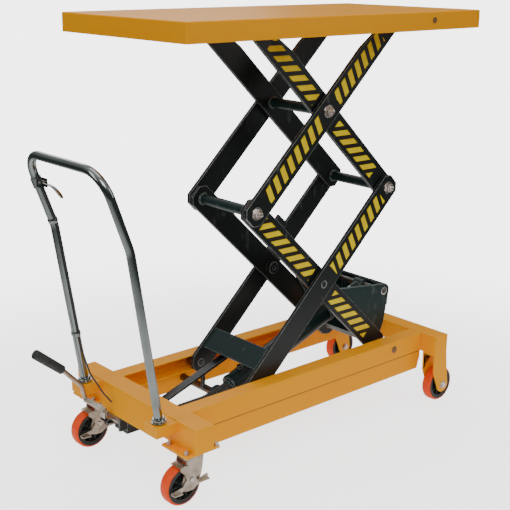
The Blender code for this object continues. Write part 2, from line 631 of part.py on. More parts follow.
# ---------------------------------------------------------------- handle
def handle_point(z, side):
    """Middle of the handle tube at a height below its knee."""
    lean = (HANDLE_KNEE[0] - HANDLE_FOOT_X) / (HANDLE_KNEE[1] - 0.254)
    return (HANDLE_FOOT_X + lean * (z - 0.254), side * HANDLE_HALF_Y, z)


def upper_handle_point(z, y):
    """Middle of the handle tube at a height above its knee."""
    share = (z - HANDLE_KNEE[1]) / (HANDLE_TOP[1] - HANDLE_KNEE[1])
    return (HANDLE_KNEE[0] + share * (HANDLE_TOP[0] - HANDLE_KNEE[0]), y, z)


def build_handle():
    corners = []
    for side in (-1, 1):
        leg = [handle_point(0.2235, side),
               (HANDLE_KNEE[0], side * HANDLE_HALF_Y, HANDLE_KNEE[1]),
               (HANDLE_TOP[0], side * HANDLE_HALF_Y, HANDLE_TOP[1])]
        corners += leg if side < 0 else leg[::-1]
    path = rounded_path(corners, (0.16, 0.078, 0.078, 0.16), 7)
    call(tube(path, HANDLE_RADIUS, sides_step=4), "push_handle", "chrome")

    clamp_z = 0.922
    seat = upper_handle_point(clamp_z, HANDLE_HALF_Y)
    up = (Vector(upper_handle_point(1.0, 0)) - Vector(upper_handle_point(0.9, 0))).normalized()
    middle = Vector(seat)
    clamp = bar(middle - up * 0.016, middle + up * 0.016, HANDLE_RADIUS + 0.0032)
    cut(clamp, bar(middle - up * 0.03, middle + up * 0.03, HANDLE_RADIUS + 2 * GAP))
    for flank in (-1, 1):
        x = middle.x + flank * 0.009
        join(clamp, block((x - 0.0015, 0.158, clamp_z - 0.012), (x + 0.0015, 0.1865, clamp_z + 0.014)))
    join(clamp, block((middle.x - 0.010, 0.1842, clamp_z - 0.012),
                      (middle.x + 0.010, 0.1866, clamp_z + 0.012)))
    call(clamp, "release_bracket", "chrome")

    pivot = (middle.x, 0.168, clamp_z + 0.004)
    reach = [(0.004, 0.000), (-0.020, -0.003), (-0.045, -0.003), (-0.070, -0.009),
             (-0.094, -0.020), (-0.110, -0.031)]
    curve_points = [(pivot[0], pivot[1] + dy, pivot[2] + dz) for dy, dz in reach]
    lever = blade(curve_points, 0.0065, 0.0018)
    join(lever, bar((pivot[0] - 0.0068, pivot[1], pivot[2]),
                    (pivot[0] + 0.0068, pivot[1], pivot[2]), 0.0055, sides=16))
    call(lever, "release_lever", "chrome", pivot)


def blade(points, half_width, half_thick):
    """A bent flat strip in a YZ plane, wide along X."""
    upper = [(y, z + half_thick) for _, y, z in points]
    lower = [(y, z - half_thick) for _, y, z in points]
    outline = upper + lower[::-1]
    curve = bpy.data.curves.new("blade", "CURVE")
    curve.dimensions = "2D"
    curve.fill_mode = "BOTH"
    curve.extrude = half_width
    spline(curve, outline, closed=True)
    shape = bpy.data.objects.new("blade", curve)
    shape.matrix_world = (Matrix.Translation((points[0][0], 0, 0))
                          @ Matrix(((0, 0, 1, 0), (1, 0, 0, 0), (0, 1, 0, 0), (0, 0, 0, 1))))
    PARTS.objects.link(shape)
    bpy.context.view_layer.update()
    return mesh_of(shape)


# Middle line of the release cable: clipped down the handle's left leg, then to the pump.
CABLE_RADIUS = 0.0025
CABLE_START_Z = 0.903
CABLE_LEAVES_Z = 0.375


def cable_route():
    """Points beside the handle tube, then a slack bend into the cover."""
    beside = HANDLE_HALF_Y - HANDLE_RADIUS - CABLE_RADIUS - 0.001
    top = upper_handle_point(CABLE_START_Z, beside)
    knee = (HANDLE_KNEE[0], beside, HANDLE_KNEE[1])
    low = handle_point(CABLE_LEAVES_Z, 1)
    corners = [top, knee, (low[0], beside, low[2]),
               (LIFT_X - 0.728, 0.150, 0.300), (LIFT_X - 0.7080, 0.106, 0.240),
               (LIFT_X - 0.6915, 0.088, 0.213)]
    return rounded_path(corners, (0.16, 0.06, 0.07, 0.05), 5)


# ---------------------------------------------------------------- hydraulics and pedal
def build_hydraulics():
    foot = Vector((CYLINDER_FOOT[0], 0, CYLINDER_FOOT[1]))
    head = Vector((HORN_PIN[0], 0, HORN_PIN[1]))
    axis = (head - foot).normalized()
    call(cross_bar(foot.x, foot.z, 0.0125, -0.1977, 0.1977), "cylinder_foot_bar", "steel")

    gland = foot + axis * BARREL_LENGTH
    barrel = bar(foot + axis * 0.050, gland, BARREL_RADIUS)
    lug = cross_bar(foot.x, foot.z, 0.030, -0.018, 0.018)
    join(barrel, lug, bar(foot + axis * 0.020, foot + axis * 0.055, 0.020),
         bar(gland - axis * 0.030, gland + axis * 0.004, BARREL_RADIUS + 0.003))
    cut(barrel, cross_bar(foot.x, foot.z, 0.0195, -0.03, 0.03),
        bar(gland - axis * 0.270, gland + axis * 0.02, ROD_RADIUS + 0.0005))
    call(barrel, "cylinder_barrel", "teal_paint", tuple(head))

    rod = bar(gland - axis * 0.135, head - axis * 0.010, ROD_RADIUS)
    join(rod, cross_bar(head.x, head.z, 0.0185, -0.020, 0.020))
    cut(rod, cross_bar(head.x, head.z, PIN_RADIUS + PIN_PLAY, -0.03, 0.03))
    call(rod, "cylinder_rod", "chrome", tuple(head))

    x, z = PEDAL_PIVOT
    plunger_x = x + 0.036
    pump_y = 0.070
    tank_z = 0.132
    tank_end = x + 0.140
    pump = block((x + 0.018, pump_y - 0.035, 0.116), (x + 0.088, pump_y + 0.035, z - 0.014))
    for y_from, y_to in ((0.034, 0.0415), (0.105, 0.1125)):
        join(pump, block((x - 0.010, y_from, z - 0.030), (x + 0.020, y_to, z + 0.009)))
    join(pump, cross_bar(x, z, 0.0055, 0.036, 0.110),
         bar((x + 0.070, pump_y, tank_z), (tank_end, pump_y, tank_z), 0.024))
    cut(pump, bar((plunger_x, pump_y, 0.120), (plunger_x, pump_y, z), 0.0094))
    call(pump, "foot_pump", "black_paint")
    call(bar((plunger_x, pump_y, 0.123), (plunger_x, pump_y, z - 0.0063), 0.009),
         "pump_plunger", "chrome", (plunger_x, pump_y, 0.123))

    lever = cross_bar(x, z, 0.011, 0.042, 0.1045)
    elbow = (LIFT_X - 0.742, 0.160, 0.212)
    knee = (LIFT_X - 0.754, 0.160, 0.262)
    grip_start = (LIFT_X - 0.818, 0.163, 0.331)
    grip_end = (LIFT_X - 0.908, 0.167, 0.406)
    grip_way = (Vector(grip_end) - Vector(grip_start)).normalized()
    rod_points = rounded_path([elbow, knee, grip_start,
                               tuple(Vector(grip_start) + grip_way * 0.055)], (0.020, 0.050), 5)
    join(lever, block((x + 0.002, pump_y - 0.010, z - 0.006), (x + 0.046, pump_y + 0.010, z + 0.006)),
         block((x - 0.034, 0.080, z - 0.0045), (x - 0.004, 0.104, z + 0.0045)),
         block((x - 0.034, 0.080, z - 0.0045), (x - 0.025, 0.104, z + 0.036)),
         bar((x - 0.030, 0.084, z + 0.031), (elbow[0] - 0.004, elbow[1] + 0.002, elbow[2] + 0.004),
             0.0085, sides=8),
         tube(rod_points, 0.0075))
    cut(lever, cross_bar(x, z, 0.0055 + PIN_PLAY, 0.02, 0.13))
    call(lever, "pedal_lever", "chrome", (x, 0, z))

    start = Vector(grip_start)
    grip = bar(start, Vector(grip_end), 0.0145, end_radius=0.0155)
    cut(grip, bar(start - grip_way * 0.02, start + grip_way * 0.057, 0.0079))
    call(grip, "pedal_grip", "rubber", (x, 0, z))

    port_y = -0.062
    hose_path = rounded_path([(tank_end + GAP, pump_y, tank_z), (x + 0.185, pump_y, tank_z),
                              (x + 0.275, -0.030, 0.190), (foot.x, port_y, 0.236),
                              (foot.x, port_y, foot.z + 0.0125 + GAP)],
                             (0.04, 0.06, 0.022), 4)
    call(tube(hose_path, 0.008, sides_step=2), "hydraulic_hose", "rubber")

    low, high = Vector((LIFT_X - 0.540, 0.030, 0.165)), Vector((LIFT_X - 0.250, 0.030, 0.262))
    way = (high - low).normalized()
    rise = Vector((-way.z, 0, way.x)) * 0.005
    strip = [low + rise, low - rise, high - rise, high + rise]
    strut = plate([(p.x, p.z) for p in strip], 0.050, 0.080)
    post_x = LIFT_X - 0.346
    join(strut, block((post_x - 0.005, 0.058, 0.172), (post_x + 0.005, 0.072, 0.228)))
    call(strut, "support_strut", "black_paint")


build_arms()
build_joints()
build_rollers()
build_lower_frame_members()
build_platform()
build_base()
build_handle_beam()
build_wheel_beam()
build_castors()
build_handle()
call(tube(cable_route(), CABLE_RADIUS, sides_step=2), "release_cable", "rubber")
build_hydraulics()
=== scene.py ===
"""The finished look of a mobile double scissor lift table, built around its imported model."""
import json
import math

import bmesh
import bpy
from mathutils import Matrix, Vector


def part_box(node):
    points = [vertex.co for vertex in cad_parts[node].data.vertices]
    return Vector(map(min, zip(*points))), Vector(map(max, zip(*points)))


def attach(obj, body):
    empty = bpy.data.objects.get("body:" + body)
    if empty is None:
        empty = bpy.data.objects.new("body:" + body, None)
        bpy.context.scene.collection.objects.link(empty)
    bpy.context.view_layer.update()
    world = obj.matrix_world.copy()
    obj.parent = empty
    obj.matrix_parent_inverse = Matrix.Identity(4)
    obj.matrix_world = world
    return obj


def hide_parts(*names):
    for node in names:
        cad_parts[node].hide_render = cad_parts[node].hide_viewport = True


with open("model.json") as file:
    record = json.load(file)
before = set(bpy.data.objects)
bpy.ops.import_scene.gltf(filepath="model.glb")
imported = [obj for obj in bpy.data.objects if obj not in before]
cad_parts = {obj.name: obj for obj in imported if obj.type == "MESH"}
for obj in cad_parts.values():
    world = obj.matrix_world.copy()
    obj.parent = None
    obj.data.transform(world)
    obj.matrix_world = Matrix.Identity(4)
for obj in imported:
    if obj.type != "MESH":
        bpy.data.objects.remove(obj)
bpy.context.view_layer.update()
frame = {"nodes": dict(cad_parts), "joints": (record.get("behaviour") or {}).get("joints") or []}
nodes = frame["nodes"]
pivot = {j["name"]: Vector(j["pos_m"]) for j in frame["joints"] if "pos_m" in j}
SIDES = (("right", -1), ("left", 1))
show = bpy.context.scene.collection.objects.link

# ---------------------------------------------------------------- view, light and floor
# A long lens at chest height looks down on the handle end and the right side. Soft lamps
# stand round a plain pale floor. The sky is a calm grey for the chrome, and white in view.
CAMERA_PLACE = Vector((-2.1219, -2.4292, 1.5513))
YAW, PITCH, ROLL = 0.7186, -0.2814, 0.0078
LENS = 72.15
FLOOR_SIZE, FLOOR_DROP = 12.0, 0.0006

ahead = Vector((math.sin(YAW) * math.cos(PITCH), math.cos(YAW) * math.cos(PITCH), math.sin(PITCH)))
level = Vector((math.cos(YAW), -math.sin(YAW), 0))
upward = level.cross(ahead)
across = level * math.cos(ROLL) + upward * math.sin(ROLL)
over = upward * math.cos(ROLL) - level * math.sin(ROLL)
camera = bpy.data.objects.new("camera", bpy.data.cameras.new("camera"))
camera.data.lens = LENS
camera.data.clip_end = 100.0
camera.matrix_world = (Matrix.Translation(CAMERA_PLACE)
                       @ Matrix((across, over, -ahead)).transposed().to_4x4())
show(camera)
bpy.context.scene.camera = camera


def step(tree, kind, feeds=None, **settings):
    """Add a node, set its properties, and feed its inputs with values or other sockets."""
    node = tree.nodes.new(kind)
    for key, value in settings.items():
        setattr(node, key, value)
    for key, value in (feeds or {}).items():
        if isinstance(value, bpy.types.NodeSocket):
            tree.links.new(value, node.inputs[key])
        else:
            node.inputs[key].default_value = value
    return node


def soft_lamp(name, place, width, height, watts, colour=(1, 1, 1)):
    """A flat soft box that faces the middle of the table."""
    lamp = bpy.data.lights.new(name, "AREA")
    lamp.shape = "RECTANGLE"
    lamp.size, lamp.size_y = width, height
    lamp.energy = watts
    lamp.color = colour
    holder = bpy.data.objects.new(name, lamp)
    holder.location = place
    holder.rotation_euler = (Vector((0, 0, 0.7)) - Vector(place)).to_track_quat("-Z", "Y").to_euler()
    show(holder)


soft_lamp("key_box", (-2.2, -3.2, 3.2), 2.2, 1.8, 56)
soft_lamp("side_box", (2.6, -3.2, 2.0), 1.0, 2.4, 20)
soft_lamp("front_box", (-3.6, 0.6, 1.8), 1.2, 2.2, 19)
soft_lamp("back_box", (1.5, 3.6, 3.0), 3.0, 1.6, 30)
soft_lamp("top_box", (0.0, 0.0, 4.6), 3.2, 3.2, 40)

world = bpy.data.worlds.new("studio")
bpy.context.scene.world = world
world.use_nodes = True
sky = world.node_tree
way = step(sky, "ShaderNodeTexCoord")
height = step(sky, "ShaderNodeSeparateXYZ", {"Vector": way.outputs["Generated"]})
rise = step(sky, "ShaderNodeMapRange", {"Value": height.outputs["Z"], "From Min": 0.02, "From Max": 0.75})
tone = step(sky, "ShaderNodeMix", {"Factor": rise.outputs["Result"], "A": (0.075, 0.090, 0.084, 1),
                                   "B": (0.62, 0.64, 0.63, 1)}, data_type="RGBA")
rays = step(sky, "ShaderNodeLightPath")
seen = step(sky, "ShaderNodeMix", {"Factor": rays.outputs["Is Camera Ray"], "A": tone.outputs["Result"],
                                   "B": (4.5, 4.5, 4.5, 1)}, data_type="RGBA")
sky.links.new(seen.outputs["Result"], sky.nodes["Background"].inputs["Color"])

floor_mesh = bpy.data.meshes.new("floor")
half_floor = FLOOR_SIZE / 2
corner_signs = ((-1, -1), (1, -1), (1, 1), (-1, 1))
floor_mesh.from_pydata([(half_floor * x, half_floor * y, -FLOOR_DROP) for x, y in corner_signs],
                       [], [(0, 1, 2, 3)])
floor = bpy.data.objects.new("floor", floor_mesh)
show(floor)
pale = bpy.data.materials.new("pale_floor")
pale.use_nodes = True
ground = pale.node_tree
pale_shader = ground.nodes["Principled BSDF"]
mottle = step(ground, "ShaderNodeTexNoise", {"Scale": 0.8, "Detail": 3.0})
pale_tone = step(ground, "ShaderNodeMix", {"Factor": mottle.outputs["Fac"], "A": (0.90, 0.90, 0.895, 1),
                                           "B": (0.93, 0.93, 0.925, 1)}, data_type="RGBA")
ground.links.new(pale_tone.outputs["Result"], pale_shader.inputs["Base Color"])
pale_shader.inputs["Roughness"].default_value = 0.9
pale_shader.inputs["Specular IOR Level"].default_value = 0.1
looked_at = step(ground, "ShaderNodeLightPath").outputs["Is Camera Ray"]
glow = step(ground, "ShaderNodeMix", {"Factor": looked_at, "A": (0.16, 0.16, 0.16, 1),
            "B": (1, 1, 1, 1)}, data_type="RGBA")
ground.links.new(glow.outputs["Result"], pale_shader.inputs["Emission Color"])
pale_shader.inputs["Emission Strength"].default_value = 2.2
spot = step(ground, "ShaderNodeTexCoord").outputs["Object"]
away = step(ground, "ShaderNodeVectorMath", {0: spot}, operation="LENGTH").outputs["Value"]
fade_out = step(ground, "ShaderNodeMapRange", {"Value": away, "From Min": 0.9,
                "From Max": 2.4, "To Min": 1.0, "To Max": 0.0}, interpolation_type="SMOOTHSTEP")
ground.links.new(fade_out.outputs["Result"], pale_shader.inputs["Alpha"])
floor_mesh.materials.append(pale)

# ---------------------------------------------------------------- platform
# The deck is one folded steel sheet with turned-down sides, powder coated orange-yellow.
# Short gussets under it carry the load from the channels out to its sides.
PAINT_INPUTS = (("Colour", (0.9, 0.4, 0.01, 1)), ("Deep Colour", (0.7, 0.25, 0.01, 1)),
                ("Worn And Highlight Colour", (0.95, 0.6, 0.2, 1)), ("Wear And Highlight Width", 0.0016), ("Peel Scale", 420.0))


def new_group(name, inputs, outputs):
    """A shader group whose sockets are colours where the default is one, and plain values otherwise."""
    tree = bpy.data.node_groups.new(name, "ShaderNodeTree")
    for label, value in inputs:
        kind = "NodeSocketFloat" if isinstance(value, float) else "NodeSocketColor"
        socket = tree.interface.new_socket(label, in_out="INPUT", socket_type=kind)
        socket.default_value = value
    for label in outputs:
        kind = "NodeSocketColor" if label == "Colour" else "NodeSocketFloat"
        tree.interface.new_socket(label, in_out="OUTPUT", socket_type=kind)
    return tree, tree.nodes.new("NodeGroupInput").outputs, tree.nodes.new("NodeGroupOutput").inputs


def noise(tree, scale, detail=3.0, stretch=None):
    """Noise over the object's own metres, drawn out along an axis where stretch is given."""
    place = step(tree, "ShaderNodeTexCoord").outputs["Object"]
    if stretch:
        place = step(tree, "ShaderNodeMapping", {"Vector": place, "Scale": stretch}).outputs["Vector"]
    grain = step(tree, "ShaderNodeTexNoise", {"Vector": place, "Scale": scale, "Detail": detail})
    return grain.outputs["Fac"]


# Short forms of the nodes used most.
def ramp(tree, value, low, high, to_low=0.0, to_high=1.0):
    return step(tree, "ShaderNodeMapRange", {"Value": value, "From Min": low, "From Max": high,
                                             "To Min": to_low, "To Max": to_high}).outputs["Result"]


def mixed(tree, share, first, second):
    return step(tree, "ShaderNodeMix", {"Factor": share, "A": first, "B": second},
                data_type="RGBA").outputs["Result"]


def maths(tree, operation, first, second=0.0):
    return step(tree, "ShaderNodeMath", {0: first, 1: second}, operation=operation).outputs["Value"]


# Edges: where a rounded-over normal leaves the real one, broken up by noise; this mask lightens them as wear
# and as a painted edge highlight.
wear_highlight_tree, wear_highlight_in, wear_highlight_out = new_group("edge_wear_and_highlight", (("Width", 0.0015), ("Grain", 90.0)), ("Mask",))
round_over = step(wear_highlight_tree, "ShaderNodeBevel", {"Radius": wear_highlight_in["Width"]}, samples=6)
true_face = step(wear_highlight_tree, "ShaderNodeNewGeometry")
agree = step(wear_highlight_tree, "ShaderNodeVectorMath", {0: round_over.outputs["Normal"],
             1: true_face.outputs["Normal"]}, operation="DOT_PRODUCT").outputs["Value"]
edge = ramp(wear_highlight_tree, agree, 0.992, 0.90)
breaks = ramp(wear_highlight_tree, noise(wear_highlight_tree, wear_highlight_in["Grain"], 4.0), 0.22, 0.52)
wear_highlight_tree.links.new(maths(wear_highlight_tree, "MULTIPLY", edge, breaks), wear_highlight_out["Mask"])

paint_tree, paint_in, paint_out = new_group("baked_paint", PAINT_INPUTS, ("Colour", "Roughness", "Height"))
peel = noise(paint_tree, paint_in["Peel Scale"], 2.0)
clouds = noise(paint_tree, 3.2, 4.0)
scuffs = ramp(paint_tree, noise(paint_tree, 38.0, 6.0, (1.0, 1.0, 0.35)), 0.62, 0.78)
# This edge mask lightens the paint's edges both as wear and as a painted highlight.
wear_and_highlight = step(paint_tree, "ShaderNodeGroup", {"Width": paint_in["Wear And Highlight Width"]}, node_tree=wear_highlight_tree)
body_tone = mixed(paint_tree, ramp(paint_tree, clouds, 0.3, 0.75, 0.0, 0.55),
                  paint_in["Colour"], paint_in["Deep Colour"])
for mask, strength in ((scuffs, 0.16), (wear_and_highlight.outputs["Mask"], 0.75)):
    share = maths(paint_tree, "MULTIPLY", mask, strength)
    body_tone = mixed(paint_tree, share, body_tone, paint_in["Worn And Highlight Colour"])
paint_tree.links.new(body_tone, paint_out["Colour"])
gloss = maths(paint_tree, "ADD", ramp(paint_tree, clouds, 0.3, 0.7, 0.30, 0.38),
              maths(paint_tree, "MULTIPLY", scuffs, 0.14))
paint_tree.links.new(gloss, paint_out["Roughness"])
paint_tree.links.new(peel, paint_out["Height"])


def finish(name, group, values, depth, metallic=0.0, specular=0.5):
    """A material whose colour, roughness and relief come from a group; colours are three values."""
    material = bpy.data.materials.new(name)
    material.use_nodes = True
    tree = material.node_tree
    shader = tree.nodes["Principled BSDF"]
    shader.inputs["Metallic"].default_value = metallic
    shader.inputs["Specular IOR Level"].default_value = specular
    values = {key: (*value, 1) if isinstance(value, tuple) else value for key, value in values.items()}
    surface = step(tree, "ShaderNodeGroup", values, node_tree=group).outputs
    relief = step(tree, "ShaderNodeBump", {"Height": surface["Height"], "Distance": depth, "Strength": 1.0})
    tree.links.new(surface["Colour"], shader.inputs["Base Color"])
    tree.links.new(surface["Roughness"], shader.inputs["Roughness"])
    tree.links.new(relief.outputs["Normal"], shader.inputs["Normal"])
    return material


def enamel(name, colour, deep, wear_and_highlight, depth=0.00004, peel_scale=300.0, specular=0.30):
    """Baked paint in three tones: its own, its deeper clouds, and a paler edge tone that is partly wear and
    partly a painted highlight.
    """
    values = {"Colour": colour, "Deep Colour": deep, "Worn And Highlight Colour": wear_and_highlight, "Wear And Highlight Width": 0.0040,
              "Peel Scale": peel_scale}
    return finish(name, paint_tree, values, depth, specular=specular)


yellow_coat = enamel("yellow_powder_coat", (1.0, 0.40, 0.0), (1.0, 0.355, 0.0), (1.0, 0.56, 0.02),
                     0.00003, 420.0, 0.10)
SHARP_FROM, EASE_FROM, FLAT_WITHIN, WELD_WITHIN = math.radians(38), math.radians(40), math.radians(0.6), 2e-5


def slab(bm, low, high):
    """A box between two corners."""
    low, high = Vector(low), Vector(high)
    made = bmesh.ops.create_cube(bm, size=1.0)["verts"]
    bmesh.ops.scale(bm, vec=[abs(c) for c in high - low], verts=made)
    bmesh.ops.translate(bm, vec=(low + high) / 2, verts=made)
    return made


def prism(bm, near, far):
    """Close two matching outlines into a solid."""
    bm.faces.new(near)
    bm.faces.new(far[::-1])
    for k in range(len(near)):
        bm.faces.new((near[k - 1], near[k], far[k], far[k - 1]))


def built(name, bm, material, body, stands_for=(), rounding=0.0, seal=True):
    """Make a piece from a finished bmesh, round its edges, and let it ride on a body."""
    if seal:
        bmesh.ops.recalc_face_normals(bm, faces=bm.faces)
    mesh = bpy.data.meshes.new(name)
    bm.to_mesh(mesh)
    bm.free()
    mesh.materials.append(material)
    mesh.shade_smooth()
    mesh.set_sharp_from_angle(angle=SHARP_FROM)
    piece = bpy.data.objects.new(name, mesh)
    show(piece)
    if rounding:
        ease_edges(piece, rounding)
    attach(piece, body)
    if stands_for:
        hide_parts(*stands_for)
    return piece


def ease_edges(piece, width, segments=2):
    """Round the sharp edges and keep the flat faces flat in the shading."""
    rounds = piece.modifiers.new("rounded_edges", "BEVEL")
    rounds.width = width
    rounds.segments = segments
    rounds.limit_method = "ANGLE"
    rounds.angle_limit = EASE_FROM
    rounds.use_clamp_overlap = True
    even = piece.modifiers.new("even_faces", "WEIGHTED_NORMAL")
    even.keep_sharp = False


def dress(node, material, width):
    """Give a carried-over part its material and rounded edges."""
    part = nodes[node]
    part.data.materials.clear()
    part.data.materials.append(material)
    weld = part.modifiers.new("whole_surface", "WELD")
    weld.merge_threshold = WELD_WITHIN
    flat = part.modifiers.new("whole_faces", "DECIMATE")
    flat.decimate_type = "DISSOLVE"
    flat.angle_limit = FLAT_WITHIN
    ease_edges(part, width)


DECK_SHEET, DECK_FOLD, GAP = 0.003, 0.0042, 0.0004
GUSSET_HALF, GUSSET_PLACES = 0.002, (0.08, 0.36, 0.64, 0.92)
deck_low, deck_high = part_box("platform_pan")
bm = bmesh.new()
slab(bm, deck_low, deck_high)
bm.normal_update()
bmesh.ops.delete(bm, geom=[f for f in bm.faces if f.normal.z < -0.5], context="FACES")
deck = built("platform_deck", bm, yellow_coat, "platform", ["platform_pan"], seal=False)
folds = deck.modifiers.new("folds", "BEVEL")
folds.width = DECK_FOLD
folds.segments = 5
folds.limit_method = "ANGLE"
sheet = deck.modifiers.new("sheet", "SOLIDIFY")
sheet.thickness = DECK_SHEET
sheet.offset = -1
deck.modifiers.new("even_faces", "WEIGHTED_NORMAL")

channel_low, channel_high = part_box("platform_channel_left")
for word, side in SIDES:
    bm = bmesh.new()
    web_y, skirt_y = side * (channel_high.y + GAP), side * (deck_high.y - DECK_SHEET - GAP)
    top_z, bottom_z = deck_high.z - DECK_SHEET - GAP, deck_low.z + 0.008
    profile = [(web_y, top_z), (skirt_y, top_z), (skirt_y, bottom_z + 0.012), (web_y, bottom_z)]
    for share in GUSSET_PLACES:
        x = channel_low.x + share * (channel_high.x - channel_low.x)
        prism(bm, [bm.verts.new((x - GUSSET_HALF, y, z)) for y, z in profile],
              [bm.verts.new((x + GUSSET_HALF, y, z)) for y, z in profile])
    built(f"deck_gussets_{word}", bm, yellow_coat, "platform", rounding=0.0006)


def turn(bm, profile, centre, axis=(0, 1, 0), steps=48, closed=False):
    """Turn a profile of (radius, rise) points about an axis; closed joins its ends into a ring."""
    axis = Vector(axis).normalized()
    side = axis.orthogonal().normalized()
    other = axis.cross(side)
    rings = []
    for radius, rise_along in profile:
        middle = Vector(centre) + axis * rise_along
        if radius == 0:
            rings.append([bm.verts.new(middle)] * steps)
            continue
        turns = [math.tau * k / steps for k in range(steps)]
        rings.append([bm.verts.new(middle + (side * math.cos(t) + other * math.sin(t)) * radius)
                      for t in turns])
    pairs = list(zip(rings, rings[1:]))
    if closed:
        pairs.append((rings[-1], rings[0]))
    for low_ring, high_ring in pairs:
        for k in range(steps):
            corners = (low_ring[k - 1], low_ring[k], high_ring[k], high_ring[k - 1])
            bm.faces.new(list(dict.fromkeys(corners)))


def mirrored(half_profile):
    """A profile and its reflection, so that both ends of a turned piece match."""
    return half_profile + [(radius, -rise) for radius, rise in reversed(half_profile)]


def sleeve(bore, radius, low, high, bevel):
    """Profile of a plain ring or bar; bevel is how far its edges are cut in and along."""
    cut, drop = bevel
    return [(bore, low), (radius - cut, low), (radius, low + drop), (radius, high - drop),
            (radius - cut, high), (bore, high)]


# A grained skin for moulded parts that pales with scuffs and with a painted edge highlight, and the plug in
# the deck's right side.
SKIN_INPUTS = (("Colour", (0.1, 0.1, 0.1, 1)), ("Scuffed And Highlight Colour", (0.2, 0.2, 0.2, 1)),
               ("Grain Scale", 700.0), ("Dullness", 0.5))
mould_tree, mould_in, mould_out = new_group("moulded_skin", SKIN_INPUTS, ("Colour", "Roughness", "Height"))
skin = noise(mould_tree, mould_in["Grain Scale"], 3.0)
wear = ramp(mould_tree, noise(mould_tree, 55.0, 6.0), 0.48, 0.74)
# The edge mask pales the skin's edges as wear and as a painted highlight.
mould_wear_highlight = step(mould_tree, "ShaderNodeGroup", node_tree=wear_highlight_tree)
worn_and_highlit = maths(mould_tree, "MAXIMUM", maths(mould_tree, "MULTIPLY", wear, 0.45),
             maths(mould_tree, "MULTIPLY", mould_wear_highlight.outputs["Mask"], 0.7))
mould_tree.links.new(mixed(mould_tree, worn_and_highlit, mould_in["Colour"], mould_in["Scuffed And Highlight Colour"]),
                     mould_out["Colour"])
mould_tree.links.new(maths(mould_tree, "ADD", mould_in["Dullness"],
                           ramp(mould_tree, skin, 0.3, 0.7, -0.05, 0.07)), mould_out["Roughness"])
mould_tree.links.new(skin, mould_out["Height"])


def moulded(name, colour, scuffed_and_highlit, dullness, depth=0.00005, specular=0.5):
    """A grained skin that pales with scuffs, and along its edges with wear and a painted highlight."""
    values = {"Colour": colour, "Scuffed And Highlight Colour": scuffed_and_highlit, "Dullness": dullness}
    return finish(name, mould_tree, values, depth, specular=specular)


brown_plug = moulded("brown_plug", (0.20, 0.085, 0.03), (0.36, 0.20, 0.10), 0.45, 0.00004)
PLUG_X, PLUG_Z, PLUG_RADIUS = 0.483, 1.371, 0.0100
bm = bmesh.new()
turn(bm, [(0, 0.0012), (0.0050, 0.0012), (0.0062, 0.0022), (PLUG_RADIUS - 0.0015, 0.0024),
          (PLUG_RADIUS, 0.0012), (PLUG_RADIUS, 0.0003), (0, 0.0003)],
     (PLUG_X, deck_low.y, PLUG_Z), (0, -1, 0), 40)
built("deck_plug", bm, brown_plug, "platform")

# ---------------------------------------------------------------- base frame
# Two folded rails with skirts below them, a bent cover with box ends at the handle, and an
# open beam over the fixed wheels: welded sheet, coated with the same paint as the deck.
for word, side in SIDES:
    for node, width in (("base_rail", 0.0022), ("base_skirt", 0.0016), ("castor_mount", 0.0012),
                        ("fixed_wheel_fork", 0.0012)):
        dress(f"{node}_{word}", yellow_coat, width)
for node in ("handle_end_beam", "wheel_end_beam"):
    dress(node, yellow_coat, 0.0014)

# A thin dull-brown strip along each rail's seam is painted shadow: it stands for the shadow line where the
# rail meets its skirt.
seam_shadow_strip = moulded("seam_shadow_strip", (0.42, 0.125, 0.0), (0.60, 0.20, 0.0), 0.55, 0.00004)
SEAM_Z = 0.1920
for word, side in SIDES:
    skirt_low, skirt_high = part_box(f"base_skirt_{word}")
    outer = max(abs(skirt_low.y), abs(skirt_high.y))
    bm = bmesh.new()
    slab(bm, (skirt_low.x + 0.004, side * (outer + 0.0001), SEAM_Z - 0.0042),
         (skirt_high.x - 0.004, side * (outer + 0.0014), SEAM_Z - 0.0004))
    built(f"rail_seam_shadow_{word}", bm, seam_shadow_strip, "base", rounding=0.0005)

METAL_INPUTS = (("Colour", (0.6, 0.6, 0.6, 1)), ("Tarnish", (0.4, 0.36, 0.3, 1)), ("Tarnish Scale", 26.0),
                ("Polish", 0.25), ("Spread", 0.12))
metal_tree, metal_in, metal_out = new_group("bare_metal", METAL_INPUTS, ("Colour", "Roughness", "Height"))
stain = ramp(metal_tree, noise(metal_tree, metal_in["Tarnish Scale"], 6.0), 0.42, 0.72)
hairs = noise(metal_tree, 900.0, 2.0, (1.0, 0.12, 1.0))
metal_tree.links.new(mixed(metal_tree, stain, metal_in["Colour"], metal_in["Tarnish"]),
                     metal_out["Colour"])
spread = maths(metal_tree, "MULTIPLY", maths(metal_tree, "ADD", stain,
               ramp(metal_tree, hairs, 0.35, 0.65, -0.3, 0.3)), metal_in["Spread"])
metal_tree.links.new(maths(metal_tree, "ADD", metal_in["Polish"], spread), metal_out["Roughness"])
metal_tree.links.new(hairs, metal_out["Height"])


def metal(name, colour, tarnish, tarnish_scale, polish, spread, depth, metallic=0.9):
    """Bare or plated metal; spread is how far its stains and hairlines vary the polish."""
    values = {"Colour": colour, "Tarnish": tarnish, "Tarnish Scale": tarnish_scale, "Polish": polish,
              "Spread": spread}
    return finish(name, metal_tree, values, depth, metallic)


bolt_zinc = metal("bolt_zinc", (0.66, 0.60, 0.56), (0.40, 0.31, 0.26), 40.0, 0.24, 0.10, 0.00001, 0.95)
WASHER_THICK, THREAD_PITCH, THREAD_DEPTH = 0.0022, 0.0016, 0.0006


